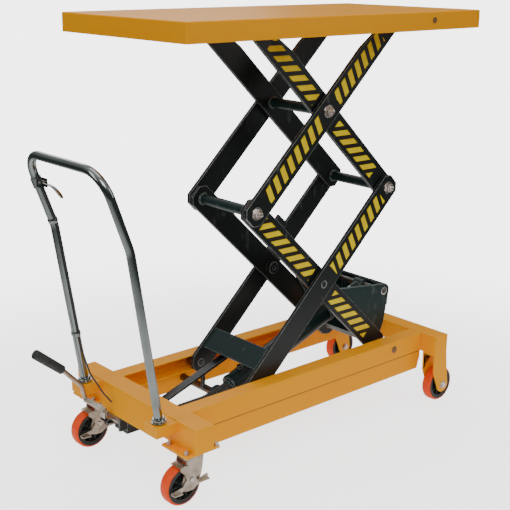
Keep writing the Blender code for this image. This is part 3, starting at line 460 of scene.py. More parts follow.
def hex_bolt(bm, seat, axis, flats, head, washer=0.0, stub=0.0):
    """A hexagon head or nut on a washer, with a rounded thread end standing out of it."""
    corner = flats / math.sqrt(3)
    lift = 0.0
    if washer:
        lift = WASHER_THICK
        turn(bm, [(0, 0), (washer - 0.0004, 0), (washer, 0.0005), (washer, lift - 0.0005),
                  (washer - 0.0005, lift), (0, lift)], seat, axis, 40)
    chamfer = flats * 0.07
    turn(bm, [(0, lift), (corner, lift), (corner, lift + head - chamfer), (corner - chamfer, lift + head),
              (0, lift + head)], seat, axis, 6)
    if stub:
        radius = flats * 0.30
        top = lift + head
        thread = [(0, top - 0.001)]
        rings = int(stub / THREAD_PITCH)
        for k in range(rings):
            crest = top + THREAD_PITCH * k
            thread += [(radius, crest), (radius - THREAD_DEPTH, crest + THREAD_PITCH / 2)]
        end = top + THREAD_PITCH * rings
        thread += [(radius, end), (radius * 0.8, end + radius * 0.35), (radius * 0.4, end + radius * 0.5),
                   (0, end + radius * 0.52)]
        turn(bm, thread, seat, axis, 32)


MOUNT_BOLTS = ((-0.050, -0.042), (-0.050, 0.042), (0.052, -0.052), (0.052, 0.052))
PLATE_BOLTS = ((-0.047, -0.036), (-0.047, 0.036), (0.044, -0.036), (0.044, 0.036))
PLATE_FACE, BASE_PIN_FACE, FORK_OUTSIDE, FORK_INSIDE = 0.012, 0.2107, 0.2766, 0.2194
mount_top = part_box("castor_mount_right")[1].z
swivel = {word: pivot[f"castor_{word}_swivel"] for word, _ in SIDES}
for word, side in SIDES:
    bm = bmesh.new()
    for dx, dy in MOUNT_BOLTS:
        place = (swivel[word].x + dx, swivel[word].y + dy, mount_top)
        hex_bolt(bm, place, (0, 0, 1), 0.0125, 0.0055, 0.0095, 0.0032)
    plate_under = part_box(f"castor_top_plate_{word}")[0].z + PLATE_FACE
    for dx, dy in PLATE_BOLTS:
        place = (swivel[word].x + dx, swivel[word].y + dy, plate_under)
        hex_bolt(bm, place, (0, 0, -1), 0.0110, 0.0050, 0.0080)
    built(f"castor_mount_bolts_{word}", bm, bolt_zinc, "base")

    pin_place = Vector((pivot["lift"].x, side * BASE_PIN_FACE, pivot["lift"].z))
    bm = bmesh.new()
    turn(bm, [(0, 0.0008), (0.0030, 0.0008), (0.0036, 0.0016), (0.0098, 0.0018), (0.0122, 0.0010),
              (0.0126, 0), (0, 0)], pin_place, (0, side, 0), 40)
    built(f"base_pin_head_{word}", bm, brown_plug, "base")

    wheel_pin = pivot[f"fixed_wheel_{word}_roll"]
    bm = bmesh.new()
    hex_bolt(bm, (wheel_pin.x, side * FORK_OUTSIDE, wheel_pin.z), (0, side, 0), 0.0205, 0.0062, 0.0140)
    hex_bolt(bm, (wheel_pin.x, side * FORK_INSIDE, wheel_pin.z), (0, -side, 0), 0.0190, 0.0062, 0.0125)
    built(f"fixed_wheel_axle_nuts_{word}", bm, bolt_zinc, "base")

# ---------------------------------------------------------------- scissor arms
# Thick flat bars, flame cut with corners taken off their middle ends, in near-black enamel.
# Printed warning tape is stuck on their outer faces in lengths between the pivots.
# The pale grey third tone on the arms' edges is partly wear and partly a painted edge highlight.
black_coat = enamel("black_enamel", (0.0105, 0.0130, 0.0130), (0.0075, 0.0100, 0.0100), (0.42, 0.45, 0.44))
for word, _ in SIDES:
    for arm in ("lower_inner", "lower_outer", "upper_inner", "upper_outer"):
        dress(f"{arm}_arm_{word}", black_coat, 0.0010)
    dress(f"platform_channel_{word}", black_coat, 0.0008)

BAND_INPUTS = (("Pitch", 0.04), ("Slant", 0.35), ("Half Width", 0.024))
band_tree, band_in, band_out = new_group("tape_bands", BAND_INPUTS, ("Band", "Edge Line"))
tape_uv = step(band_tree, "ShaderNodeSeparateXYZ",
               {"Vector": step(band_tree, "ShaderNodeTexCoord").outputs["UV"]}).outputs
along_band = maths(band_tree, "DIVIDE", maths(band_tree, "SUBTRACT", tape_uv["X"],
                   maths(band_tree, "MULTIPLY", tape_uv["Y"], band_in["Slant"])), band_in["Pitch"])
saw = maths(band_tree, "PINGPONG", along_band, 0.5)
band_tree.links.new(ramp(band_tree, saw, 0.218, 0.232), band_out["Band"])
from_edge = maths(band_tree, "SUBTRACT", band_in["Half Width"], maths(band_tree, "ABSOLUTE", tape_uv["Y"]))
outer_line = ramp(band_tree, from_edge, 0.0008, 0.0006)
inner_gap = ramp(band_tree, from_edge, 0.0016, 0.0013)
band_tree.links.new(maths(band_tree, "SUBTRACT", inner_gap, outer_line), band_out["Edge Line"])


def tape_finish(name, pitch, slant, half_width):
    """Glossy printed vinyl: yellow bands on black, with a fine black line near each edge."""
    material = bpy.data.materials.new(name)
    material.use_nodes = True
    tree = material.node_tree
    shader = tree.nodes["Principled BSDF"]
    shader.inputs["Specular IOR Level"].default_value = 0.25
    layout = {"Pitch": pitch, "Slant": slant, "Half Width": half_width}
    bands = step(tree, "ShaderNodeGroup", layout, node_tree=band_tree)
    fade = ramp(tree, noise(tree, 28.0, 5.0), 0.42, 0.72)
    yellow = mixed(tree, fade, (0.98, 0.74, 0.0, 1), (0.93, 0.60, 0.0, 1))
    black = (0.020, 0.016, 0.014, 1)
    printed = mixed(tree, bands.outputs["Band"], black, yellow)
    printed = mixed(tree, bands.outputs["Edge Line"], printed, black)
    tree.links.new(printed, shader.inputs["Base Color"])
    tree.links.new(ramp(tree, fade, 0.0, 1.0, 0.30, 0.46), shader.inputs["Roughness"])
    creases = step(tree, "ShaderNodeBump", {"Height": noise(tree, 160.0, 3.0), "Distance": 0.00005})
    tree.links.new(creases.outputs["Normal"], shader.inputs["Normal"])
    return material


rest_angle = math.atan2(pivot["left_middle"].z - pivot["lift"].z, pivot["lift"].x - pivot["left_middle"].x)
TAPE_THICK, TAPE_CLEARANCE = 0.0003, 0.00005
RISING_HALF, RISING_MIDDLE, RISING_FACE = 0.0250, 0.0010, 0.148
FALLING_HALF, FALLING_MIDDLE, FALLING_FACE = 0.0235, -0.0015, 0.130
rising_tape = tape_finish("rising_arm_tape", 0.0398, 0.35, RISING_HALF)
falling_tape = tape_finish("falling_arm_tape", 0.0455, -1.05, FALLING_HALF)
LAID = {1: (RISING_HALF, RISING_MIDDLE, RISING_FACE, rising_tape),
        -1: (FALLING_HALF, FALLING_MIDDLE, FALLING_FACE, falling_tape)}
TAPES = (("upper_outer", "upper_cross", 1, ((-0.355, -0.040), (0.049, 0.325))),
         ("upper_inner", "upper_cross", -1, ((0.055, 0.320), (-0.330, -0.075))),
         ("lower_inner", "lower_cross", -1, ((0.055, 0.355), (-0.330, -0.080))),
         ("lower_outer", "lower_cross", 1, ((0.060, 0.372),)))


def arm_axes(lean):
    """Directions along and across an arm that rises (lean 1) or falls (lean -1) towards the front."""
    return (Vector((math.cos(rest_angle) * lean, 0, math.sin(rest_angle))),
            Vector((-math.sin(rest_angle) * lean, 0, math.cos(rest_angle))))


for arm, crossing, lean, spans in TAPES:
    along, above = arm_axes(lean)
    half_width, middle, face_y, material = LAID[lean]
    for word, side in SIDES:
        for index, (start, end) in enumerate(spans, start=1):
            bm = bmesh.new()
            uv = bm.loops.layers.uv.new("tape")
            centre = Vector((pivot[crossing].x, side * face_y, pivot[crossing].z)) + above * middle
            flat = [(start, -half_width), (end, -half_width), (end, half_width), (start, half_width)]
            where = {}
            rings = []
            for lift_off in (TAPE_CLEARANCE, TAPE_THICK):
                ring = []
                for u, v in flat:
                    vert = bm.verts.new(centre + along * u + above * v + Vector((0, side * lift_off, 0)))
                    where[vert] = (u, v)
                    ring.append(vert)
                rings.append(ring)
            prism(bm, *rings)
            for face in bm.faces:
                for loop in face.loops:
                    loop[uv].uv = where[loop.vert]
            built(f"{arm}_tape_{word}_{index}", bm, material, f"{arm}_frame")


def bar_on_arm(bm, centre, lean, u_span, v_span, y_span):
    """A small block squared to an arm."""
    along, above = arm_axes(lean)
    ends = []
    for y in y_span:
        ends.append([bm.verts.new(centre + along * u + above * v + Vector((0, y - centre.y, 0)))
                     for u, v in ((u_span[0], v_span[0]), (u_span[1], v_span[0]),
                                  (u_span[1], v_span[1]), (u_span[0], v_span[1]))])
    prism(bm, *ends)


for word, side in SIDES:
    bm = bmesh.new()
    bar_on_arm(bm, pivot["lower_cross"], -1, (0.268, 0.318), (0.0405, 0.0600),
               (side * 0.1175, side * 0.1295))
    built(f"arm_stop_block_{word}", bm, black_coat, "lower_inner_frame", rounding=0.0022)

# ---------------------------------------------------------------- joints of the arms
# Bolts with washers and nuts hold the arms together at the middle and upper joints, and tubes
# between them keep the two sides apart. The lower centre pins are flush with their arms.
green_coat = enamel("dark_green_enamel", (0.0085, 0.0265, 0.0265), (0.0060, 0.0190, 0.0195),
                    (0.40, 0.45, 0.44))
opposite_middle = Vector((pivot["lift"].x, 0, pivot["left_middle"].z))
JOINTS = (("left_middle", pivot["left_middle"], "lower_inner_frame"),
          ("right_middle", opposite_middle, "upper_inner_frame"),
          ("upper_centre", pivot["upper_cross"], "upper_inner_frame"))
INNER_FACE, BETWEEN, OUTER_FACE = 0.1177, (0.1303, 0.1357), 0.1483
for label, centre, body in JOINTS:
    bm = bmesh.new()
    flange = [(0, -INNER_FACE), (0.0205, -INNER_FACE), (0.0210, -INNER_FACE + 0.0006),
              (0.0210, -INNER_FACE + 0.0052), (0.0170, -INNER_FACE + 0.0070)]
    turn(bm, mirrored(flange), centre, steps=48)
    built(f"{label}_spacer_tube", bm, green_coat, body)
    bm = bmesh.new()
    for side in (-1, 1):
        turn(bm, [(0, INNER_FACE), (0.0100, INNER_FACE), (0.0100, BETWEEN[0]), (0.0180, BETWEEN[0]),
                  (0.0180, BETWEEN[1]), (0.0100, BETWEEN[1]), (0.0100, OUTER_FACE), (0, OUTER_FACE)],
             centre, (0, side, 0), 40)
        seat = centre + Vector((0, side * OUTER_FACE, 0))
        hex_bolt(bm, seat, (0, side, 0), 0.0270, 0.0115, 0.0205, 0.0065)
    built(f"{label}_bolts", bm, bolt_zinc, body, [f"{label}_shaft"])

for word, side in SIDES:
    centre = Vector((pivot["lower_cross"].x, 0, pivot["lower_cross"].z))
    bm = bmesh.new()
    turn(bm, [(0, 0.0985), (0.0070, 0.0985), (0.0078, 0.0978), (0.0150, 0.0976), (0.0200, 0.0980),
              (0.0220, 0.1000), (0.0220, 0.1177), (0.0100, 0.1177), (0.0100, 0.1303), (0.0180, 0.1303),
              (0.0180, 0.1357), (0.0100, 0.1357), (0.0100, 0.1484), (0.0138, 0.1484), (0.0142, 0.1488),
              (0.0138, 0.1493), (0.0108, 0.1493), (0.0104, 0.1486), (0.0100, 0.1490), (0, 0.1490)],
         centre, (0, side, 0))
    built(f"lower_centre_boss_{word}", bm, black_coat, "lower_inner_frame",
          [f"lower_centre_pin_{word}"])

# ---------------------------------------------------------------- rollers
# Turned steel rollers run in the base rails and under the deck, held by rings on their stubs.
roller_steel = metal("roller_steel", (0.16, 0.15, 0.14), (0.09, 0.07, 0.055), 60.0, 0.28, 0.20, 0.00003)


def roller_profile(radius, bore, half):
    """Half of a roller's ring from its bore out, mirrored to make the whole."""
    face = [(bore, half), (radius * 0.62, half), (radius * 0.66, half - 0.0012),
            (radius * 0.80, half - 0.0012), (radius * 0.84, half), (radius - 0.0014, half),
            (radius, half - 0.0014)]
    return mirrored(face)


for word, side in SIDES:
    for label, radius, bore, half in (("base_roller", 0.0230, 0.0115, 0.0150),
                                      ("platform_roller", 0.0145, 0.0083, 0.0110)):
        bm = bmesh.new()
        turn(bm, roller_profile(radius, bore, half), pivot[f"{label}_{word}_spin"], closed=True)
        built(f"{label}_ring_{word}", bm, roller_steel, f"{label}_{word}_body", [f"{label}_{word}"])
    foot = pivot[f"base_roller_{word}_spin"]
    bm = bmesh.new()
    turn(bm, [(0, 0.1342), (0.0030, 0.1342), (0.0036, 0.1334), (0.0098, 0.1332), (0.0110, 0.1340),
              (0.0110, 0.1346), (0.0140, 0.1346), (0.0144, 0.1352), (0.0144, 0.1358), (0, 0.1358)],
         (foot.x, 0, foot.z), (0, side, 0), 40)
    built(f"roller_stub_end_{word}", bm, black_coat, "lower_outer_frame")

# ---------------------------------------------------------------- tie plate, horns and their pin
# A folded plate ties the feet of the rising arms. Two horn plates with a cross plate stand on
# the falling arms, and the cylinder pushes on the pin through them.
for node, width in (("lower_tie_plate", 0.0012), ("horn_bracket", 0.0014)):
    dress(node, green_coat, width)
horn = pivot["cylinder_head"]
bm = bmesh.new()
turn(bm, [(0, -INNER_FACE), (0.0100, -INNER_FACE), (0.0100, INNER_FACE), (0, INNER_FACE)], horn)
built("horn_pin_bar", bm, roller_steel, "lower_inner_frame", ["horn_pin"])
for word, side in SIDES:
    bm = bmesh.new()
    turn(bm, [(0.0106, INNER_FACE - 0.0008), (0.0106, INNER_FACE + 0.0002),
              (0.0146, INNER_FACE + 0.0002), (0.0150, INNER_FACE + 0.0001),
              (0.0150, INNER_FACE - 0.0008)], horn, (0, side, 0), closed=True)
    built(f"horn_pin_ring_{word}", bm, bolt_zinc, "lower_inner_frame")

# ---------------------------------------------------------------- hydraulics
# The lift cylinder lies low between the arms: a painted barrel with a screwed gland, and a
# plated rod. A foot pump, its tank, a guarded hose and a support strut sit beneath the cover.
bright_chrome = metal("bright_chrome", (0.27, 0.29, 0.285), (0.20, 0.22, 0.21), 14.0, 0.055, 0.07,
                      0.000004, 1.0)
foot_bar_low, foot_bar_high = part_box("cylinder_foot_bar")
foot = (foot_bar_low + foot_bar_high) / 2
reach = Vector((horn.x, 0, horn.z)) - Vector((foot.x, 0, foot.z))
stroke, rod_length = reach.normalized(), reach.length
BARREL_LENGTH, BARREL_RADIUS, ROD_RADIUS = 0.545, 0.036, 0.018
bm = bmesh.new()
turn(bm, [(0.0188, BARREL_LENGTH - 0.200), (0.0188, BARREL_LENGTH + 0.002), (0.0240, BARREL_LENGTH + 0.004),
          (0.0365, BARREL_LENGTH + 0.004), (0.0390, BARREL_LENGTH + 0.002), (0.0390, BARREL_LENGTH - 0.028),
          (0.0378, BARREL_LENGTH - 0.030), (BARREL_RADIUS, BARREL_LENGTH - 0.031), (BARREL_RADIUS, 0.064),
          (0.0375, 0.062), (0.0375, 0.056), (0.0350, 0.050), (0.0230, 0.048), (0.0215, 0.026), (0, 0.024)],
     foot, stroke, 64)
turn(bm, sleeve(0.0195, 0.0300, -0.0180, 0.0180, (0.0012, 0.0012)), foot, steps=64, closed=True)
port_way = Vector((-stroke.z, 0, stroke.x))
turn(bm, [(0, 0.030), (0.0090, 0.030), (0.0090, 0.046), (0.0080, 0.047), (0, 0.047)],
     foot + stroke * 0.110, port_way, 6)
built("lift_cylinder_barrel", bm, green_coat, "cylinder_barrel_body", ["cylinder_barrel"])
bm = bmesh.new()
turn(bm, [(0, BARREL_LENGTH - 0.135), (ROD_RADIUS, BARREL_LENGTH - 0.133), (ROD_RADIUS, rod_length - 0.046),
          (0.012, rod_length - 0.044), (0, rod_length - 0.044)], foot, stroke)
built("lift_cylinder_rod", bm, bright_chrome, "cylinder_rod_body", ["cylinder_rod"])
bm = bmesh.new()
turn(bm, [(0, rod_length - 0.050), (0.0182, rod_length - 0.050), (0.0185, rod_length - 0.049),
          (0.0165, rod_length - 0.014), (0, rod_length - 0.013)], foot, stroke)
turn(bm, sleeve(0.0104, 0.0185, -0.0200, 0.0200, (0.0007, 0.0008)), horn, closed=True)
built("lift_cylinder_rod_eye", bm, green_coat, "cylinder_rod_body")
bm = bmesh.new()
turn(bm, sleeve(0, 0.0125, foot_bar_low.y, foot_bar_high.y, (0.001, 0.001)), (foot.x, 0, foot.z))
built("cylinder_foot_shaft", bm, roller_steel, "base", ["cylinder_foot_bar"])
for node, width in (("foot_pump", 0.0016), ("support_strut", 0.0010)):
    dress(node, black_coat, width)
dress("pump_plunger", bright_chrome, 0.0006)


def bent(corners, radii, steps=8):
    """Points of a line whose inner corners are rounded with the given radii."""
    points = [Vector(corners[0])]
    for i, radius in enumerate(radii, start=1):
        before, here, after = (Vector(corners[k]) for k in (i - 1, i, i + 1))
        back = (before - here).normalized()
        on = (after - here).normalized()
        half = back.angle(on) / 2
        middle = here + (back + on).normalized() * radius / math.sin(half)
        first = (here + back * radius / math.tan(half) - middle).normalized()
        last = (here + on * radius / math.tan(half) - middle).normalized()
        points += [middle + first.slerp(last, k / steps) * radius for k in range(steps + 1)]
    return points + [Vector(corners[-1])]


def ring_section(radius, sides=24):
    return [(radius * math.cos(math.tau * k / sides), radius * math.sin(math.tau * k / sides))
            for k in range(sides)]


def flat_section(half_width, half_thick, squareness, sides):
    """An oval whose corners fill out towards a rectangle as squareness falls to nothing."""
    return [(half_width * math.copysign(abs(p) ** squareness, p),
             half_thick * math.copysign(abs(q) ** squareness, q)) for p, q in ring_section(1.0, sides)]


def sweep(bm, points, section, side=None, sizes=None):
    """Draw a closed section along a line; sizes scales it at each point."""
    points = [Vector(p) for p in points]
    ways = [(b - a).normalized() for a, b in zip(points, points[1:])]
    tangents = [ways[0]] + [(a + b).normalized() for a, b in zip(ways, ways[1:])] + [ways[-1]]
    side = Vector(side) if side else tangents[0].orthogonal()
    rings = []
    for k, (point, tangent) in enumerate(zip(points, tangents)):
        side = (side - tangent * side.dot(tangent)).normalized()
        other = tangent.cross(side)
        size = sizes[k] if sizes else 1.0
        rings.append([bm.verts.new(point + (side * p + other * q) * size) for p, q in section])
    for low_ring, high_ring in zip(rings, rings[1:]):
        for k in range(len(section)):
            bm.faces.new((low_ring[k - 1], low_ring[k], high_ring[k], high_ring[k - 1]))
    bm.faces.new(rings[0])
    bm.faces.new(rings[-1][::-1])


black_rubber = moulded("black_rubber", (0.022, 0.025, 0.025), (0.075, 0.082, 0.08), 0.52)
pedal = pivot["pedal_press"]
HOSE_RADIUS, GUARD_RADIUS, GUARD_PITCH = 0.0056, 0.0014, 0.0062
PUMP_Y, TANK_Z = 0.070, 0.132
hose_line = bent([(pedal.x + 0.1406, PUMP_Y, TANK_Z), (pedal.x + 0.185, PUMP_Y, TANK_Z),
                  (pedal.x + 0.275, -0.030, 0.190), (foot.x, -0.062, 0.236),
                  (foot.x, -0.062, foot.z + 0.0130)], (0.04, 0.06, 0.022))
bm = bmesh.new()
sweep(bm, hose_line, ring_section(HOSE_RADIUS, 20))
lengths = [0.0]
for a, b in zip(hose_line, hose_line[1:]):
    lengths.append(lengths[-1] + (b - a).length)


def on_line(line, marks, distance):
    """Point and direction at a distance along a line."""
    for a, b, start, end in zip(line, line[1:], marks, marks[1:]):
        if distance <= end or b is line[-1]:
            share = min(1.0, max(0.0, (distance - start) / (end - start)))
            return a.lerp(b, share), (b - a).normalized()


coil = []
COIL_STEPS, BARE_END = 10, 0.020
coil_radius = HOSE_RADIUS + GUARD_RADIUS * 0.7
side_way = Vector((0, 1, 0))
for k in range(int((lengths[-1] - BARE_END * 2) / GUARD_PITCH * COIL_STEPS)):
    centre, tangent = on_line(hose_line, lengths, BARE_END + k * GUARD_PITCH / COIL_STEPS)
    side_way = (side_way - tangent * side_way.dot(tangent)).normalized()
    angle = math.tau * k / COIL_STEPS
    spoke = side_way * math.cos(angle) + tangent.cross(side_way) * math.sin(angle)
    coil.append(centre + spoke * coil_radius)
sweep(bm, coil, ring_section(GUARD_RADIUS, 6))
built("pump_hose", bm, black_rubber, "base", ["hydraulic_hose"])

# ---------------------------------------------------------------- castors and their brakes
# Pressed zinc-plated forks turn on ball races under bolted top plates. A rocking toe lever on
# each fork pushes a shoe on the tread.
castor_zinc = metal("castor_zinc", (0.50, 0.44, 0.37), (0.33, 0.27, 0.21), 34.0, 0.24, 0.16, 0.00003)
for word, side in SIDES:
    for node, width in (("castor_top_plate", 0.0010), ("castor_fork", 0.0009),
                        ("castor_brake_lever", 0.0008)):
        dress(f"{node}_{word}", castor_zinc, width)
    plate_centre = Vector((swivel[word].x, swivel[word].y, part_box(f"castor_top_plate_{word}")[0].z))
    bm = bmesh.new()
    turn(bm, [(0.0292, 0.0020), (0.0325, 0.0022), (0.0345, 0.0045), (0.0345, 0.0075), (0.0315, 0.0110),
              (0.0292, 0.0112)], plate_centre, (0, 0, 1), closed=True)
    built(f"castor_race_{word}", bm, castor_zinc, "base")
    wheel = pivot[f"castor_{word}_roll"]
    fork_face = Vector((0, 0.0255, 0))
    bm = bmesh.new()
    hex_bolt(bm, wheel + fork_face, (0, 1, 0), 0.0180, 0.0060, 0.0120, 0.0030)
    hex_bolt(bm, wheel - fork_face, (0, -1, 0), 0.0150, 0.0010)
    built(f"castor_axle_nut_{word}", bm, bolt_zinc, f"castor_{word}")
    brake = pivot[f"castor_{word}_brake"]
    bm = bmesh.new()
    turn(bm, [(0, 0.0020), (0.0078, 0.0020), (0.0082, 0.0026), (0.0070, 0.0052), (0.0040, 0.0060),
              (0, 0.0061)], brake, (0, -1, 0), 32)
    built(f"castor_brake_rivet_{word}", bm, bolt_zinc, f"castor_brake_{word}")

# ---------------------------------------------------------------- wheels
# Cast orange polyurethane treads on black nylon cores with recessed ribs round the hub.
orange_tread = moulded("orange_polyurethane", (0.92, 0.075, 0.008), (0.95, 0.14, 0.02), 0.36, specular=0.25)
black_nylon = moulded("black_nylon", (0.014, 0.019, 0.016), (0.05, 0.06, 0.05), 0.36)
WHEEL_RADIUS, TREAD_INNER, RIM_REACH, AXLE_BORE = 0.0635, 0.0505, 0.0560, 0.0066
RIBS, RIB_DRAFT = 10, 0.0006
RIB_CORNERS = ((0.0165, -0.0026), (0.0165, 0.0026), (0.0425, 0.0016), (0.0425, -0.0016))


def build_wheel(label, word, half, body):
    """One wheel: the tread ring, and the core with its ribs."""
    centre = pivot[f"{label}_{word}_roll"]
    shoulder = [(TREAD_INNER + 0.0003, half), (WHEEL_RADIUS - 0.0080, half),
                (WHEEL_RADIUS - 0.0050, half - 0.0007),
                (WHEEL_RADIUS - 0.0025, half - 0.0024), (WHEEL_RADIUS - 0.0008, half - 0.0052),
                (WHEEL_RADIUS, half - 0.0090)]
    bm = bmesh.new()
    turn(bm, mirrored(shoulder), centre, steps=96, closed=True)
    built(f"{label}_tread_{word}", bm, orange_tread, body, [f"{label}_{word}_tyre"])
    web = 0.0040
    face = [(AXLE_BORE, half + 0.0008), (0.0100, half + 0.0008), (0.0108, half), (0.0160, half),
            (0.0172, half - 0.0014), (0.0180, web + 0.0010), (0.0195, web), (0.0395, web),
            (0.0412, web + 0.0012), (0.0425, half - 0.0022), (0.0436, half - 0.0010),
            (0.0490, half - 0.0010), (TREAD_INNER, half - 0.0022)]
    bm = bmesh.new()
    turn(bm, mirrored(face), centre, steps=64, closed=True)
    for k in range(RIBS):
        angle = math.tau * k / RIBS
        out = Vector((math.cos(angle), 0, math.sin(angle)))
        flank = Vector((-math.sin(angle), 0, math.cos(angle)))
        for y_side in (-1, 1):
            foot_ring, top_ring = [], []
            for along_rib, aside in RIB_CORNERS:
                base = centre + out * along_rib + flank * aside
                rib_top = base - flank * math.copysign(RIB_DRAFT, aside)
                foot_ring.append(bm.verts.new(base + Vector((0, y_side * (web - 0.0005), 0))))
                top_ring.append(bm.verts.new(rib_top + Vector((0, y_side * (half - 0.0050), 0))))
            prism(bm, foot_ring, top_ring)
    built(f"{label}_core_{word}", bm, black_nylon, body, [f"{label}_{word}_core"])
    bm = bmesh.new()
    for y_side in (-1, 1):
        turn(bm, [(TREAD_INNER - 0.0008, half - 0.0004), (RIM_REACH, half - 0.0004),
                  (RIM_REACH, half + 0.0003), (RIM_REACH - 0.0008, half + 0.0008),
                  (TREAD_INNER - 0.0008, half + 0.0008)], centre,
             (0, y_side, 0), 64, closed=True)
    built(f"{label}_rim_{word}", bm, black_nylon, body)


for word, _ in SIDES:
    build_wheel("castor", word, 0.0190, f"castor_wheel_{word}")
    build_wheel("fixed_wheel", word, 0.0180, f"fixed_wheel_{word}")

# ---------------------------------------------------------------- push handle
# One chromed tube bent into a loop, clamped in collars on the cover. The release cable runs
# down its left leg under two clips.
TUBE_RADIUS, LEG_Y = 0.013, 0.200
FOOT_X, FOOT_Z = -0.5378, 0.254
KNEE = (-0.6218, 0.785)
TOP = (-0.7058, 1.014)


def leg_point(z, y):
    """Middle of the handle tube's lower leg at a height."""
    lean = (KNEE[0] - FOOT_X) / (KNEE[1] - FOOT_Z)
    return Vector((FOOT_X + lean * (z - FOOT_Z), y, z))


def grip_point(z, y):
    """Middle of the handle tube above its knee at a height."""
    share = (z - KNEE[1]) / (TOP[1] - KNEE[1])
    return Vector((KNEE[0] + share * (TOP[0] - KNEE[0]), y, z))


corners = []
for side in (-1, 1):
    y = side * LEG_Y
    corners += [leg_point(0.2240, y), grip_point(KNEE[1], y), grip_point(TOP[1], y)][::-side]
bm = bmesh.new()
sweep(bm, bent(corners, (0.16, 0.078, 0.078, 0.16), 18), ring_section(TUBE_RADIUS, 48))
built("push_handle_tube", bm, bright_chrome, "base", ["push_handle"])

leg_way = (leg_point(0.5, 0) - leg_point(0.3, 0)).normalized()
for word, side in SIDES:
    bm = bmesh.new()
    seat = leg_point(0.2580, side * LEG_Y)
    turn(bm, [(0.0133, 0), (0.0222, 0), (0.0228, 0.0008), (0.0228, 0.0028), (0.0222, 0.0036),
              (0.0190, 0.0042), (0.0190, 0.0125), (0.0178, 0.0145), (0.0150, 0.0150), (0.0133, 0.0146)],
         seat, leg_way, closed=True)
    for flank in (-1, 1):
        hex_bolt(bm, seat + leg_way * 0.0082 + Vector((0, flank * 0.0186, 0)), (0, flank, 0), 0.0100, 0.0050,
                 0.0, 0.0020)
    built(f"handle_collar_{word}", bm, bright_chrome, "base")

CABLE_RADIUS = 0.0025
cable_y = LEG_Y - TUBE_RADIUS - CABLE_RADIUS - 0.001
bm = bmesh.new()
for place, direction in ((grip_point(0.800, LEG_Y), grip_point(1.0, 0) - grip_point(0.9, 0)),
                         (leg_point(0.425, LEG_Y), leg_way)):
    beside = Vector((place.x, cable_y, place.z))
    turn(bm, sleeve(0.01305, 0.0150, -0.0070, 0.0070, (0.0004, 0.0008)), place, direction, 40, closed=True)
    turn(bm, sleeve(0.0027, 0.0052, -0.0070, 0.0070, (0.0004, 0.0008)), beside, direction, 24, closed=True)
built("cable_clips", bm, bright_chrome, "base")

cable_line = bent([grip_point(0.903, cable_y), (KNEE[0], cable_y, KNEE[1]), leg_point(0.375, cable_y),
                   (-0.5498, 0.150, 0.300), (-0.5298, 0.106, 0.240), (-0.5133, 0.088, 0.213)],
                  (0.16, 0.06, 0.07, 0.05), 10)
bm = bmesh.new()
sweep(bm, cable_line, ring_section(CABLE_RADIUS, 16))
built("release_cable_sheath", bm, black_rubber, "base", ["release_cable"])

# ---------------------------------------------------------------- release lever
# A pressed blade pivots in a small clamp below the handle's left corner and pulls the cable.
dress("release_bracket", bright_chrome, 0.0006)
lever = pivot["release_squeeze"]
BLADE_REACH = ((0.004, 0.0002), (-0.010, -0.0022), (-0.024, -0.0030), (-0.040, -0.0028), (-0.056, -0.0046),
               (-0.072, -0.0096), (-0.086, -0.0162), (-0.098, -0.0228), (-0.1075, -0.0292))
blade = [Vector((lever.x, lever.y + dy, lever.z + dz)) for dy, dz in BLADE_REACH]
widths = [1.0, 1.0, 0.95, 0.90, 0.90, 0.94, 1.0, 0.95, 0.62]
bm = bmesh.new()
sweep(bm, blade, flat_section(0.0065, 0.0021, 0.6, 20), (1, 0, 0), widths)
turn(bm, sleeve(0, 0.0055, -0.0068, 0.0068, (0.0006, 0.0006)), lever, (1, 0, 0), 32)
built("release_blade", bm, bright_chrome, "release_lever_body", ["release_lever"])
bm = bmesh.new()
for flank in (-1, 1):
    hex_bolt(bm, lever + Vector((flank * 0.0106, 0, 0)), (flank, 0, 0), 0.0080, 0.0030)
built("release_pivot_bolt", bm, bolt_zinc, "base")

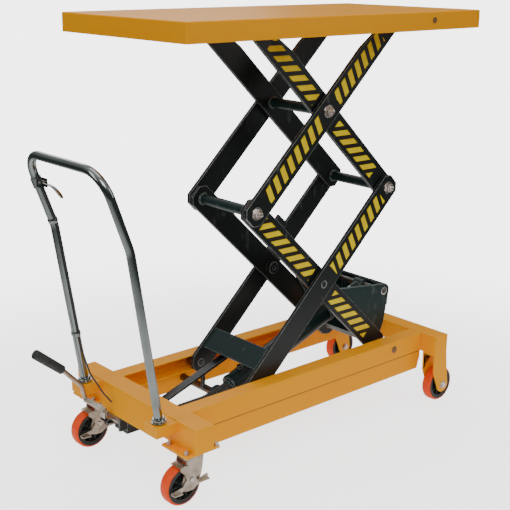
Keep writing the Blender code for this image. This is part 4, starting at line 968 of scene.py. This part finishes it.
# ---------------------------------------------------------------- foot pedal
# A cranked rod with a ribbed rubber grip works the pump through a hub under the cover.
elbow = Vector((-0.5638, 0.160, 0.212))
knee = Vector((-0.5758, 0.160, 0.262))
grip_start = Vector((-0.6398, 0.163, 0.331))
grip_end = Vector((-0.7298, 0.167, 0.406))
grip_way = (grip_end - grip_start).normalized()
bm = bmesh.new()
turn(bm, sleeve(0.0059, 0.0110, 0.0420, 0.1045, (0.0007, 0.0007)), pedal, steps=40, closed=True)
slab(bm, (pedal.x + 0.008, PUMP_Y - 0.010, pedal.z - 0.006),
     (pedal.x + 0.046, PUMP_Y + 0.010, pedal.z + 0.006))
slab(bm, (pedal.x - 0.034, 0.080, pedal.z - 0.0045), (pedal.x - 0.008, 0.104, pedal.z + 0.0045))
slab(bm, (pedal.x - 0.034, 0.080, pedal.z - 0.0045), (pedal.x - 0.025, 0.104, pedal.z + 0.036))
sweep(bm, [(pedal.x - 0.030, 0.084, pedal.z + 0.031), (elbow.x - 0.002, elbow.y - 0.002, elbow.z + 0.002)],
      flat_section(0.0085, 0.0060, 0.35, 24), (1, 0, 0.5))
sweep(bm, bent([elbow + Vector((0.001, 0, -0.004)), knee, grip_start, grip_start + grip_way * 0.055],
               (0.020, 0.050), 12), ring_section(0.0075, 32))
built("pedal_crank", bm, castor_zinc, "pedal", ["pedal_lever"], rounding=0.0008)

grip_length = (grip_end - grip_start).length
profile = [(0.0080, 0.0005), (0.0125, 0.0), (0.0143, 0.0012), (0.0146, 0.0030)]
GRIP_RIBS = 16
rib_pitch = (grip_length - 0.014) / GRIP_RIBS
for k in range(GRIP_RIBS):
    start = 0.005 + k * rib_pitch
    swell = 0.0138 + 0.0010 * k / GRIP_RIBS
    profile += [(swell, start), (swell + 0.0008, start + rib_pitch * 0.25),
                (swell + 0.0008, start + rib_pitch * 0.60), (swell, start + rib_pitch * 0.85)]
profile += [(0.0154, grip_length - 0.0075), (0.0154, grip_length - 0.0035), (0.0146, grip_length - 0.0012),
            (0.0120, grip_length - 0.0002), (0, grip_length)]
bm = bmesh.new()
turn(bm, [(0, 0.057), (0.0079, 0.057)] + profile, grip_start, grip_way)
built("pedal_rubber_grip", bm, black_rubber, "pedal", ["pedal_grip"])
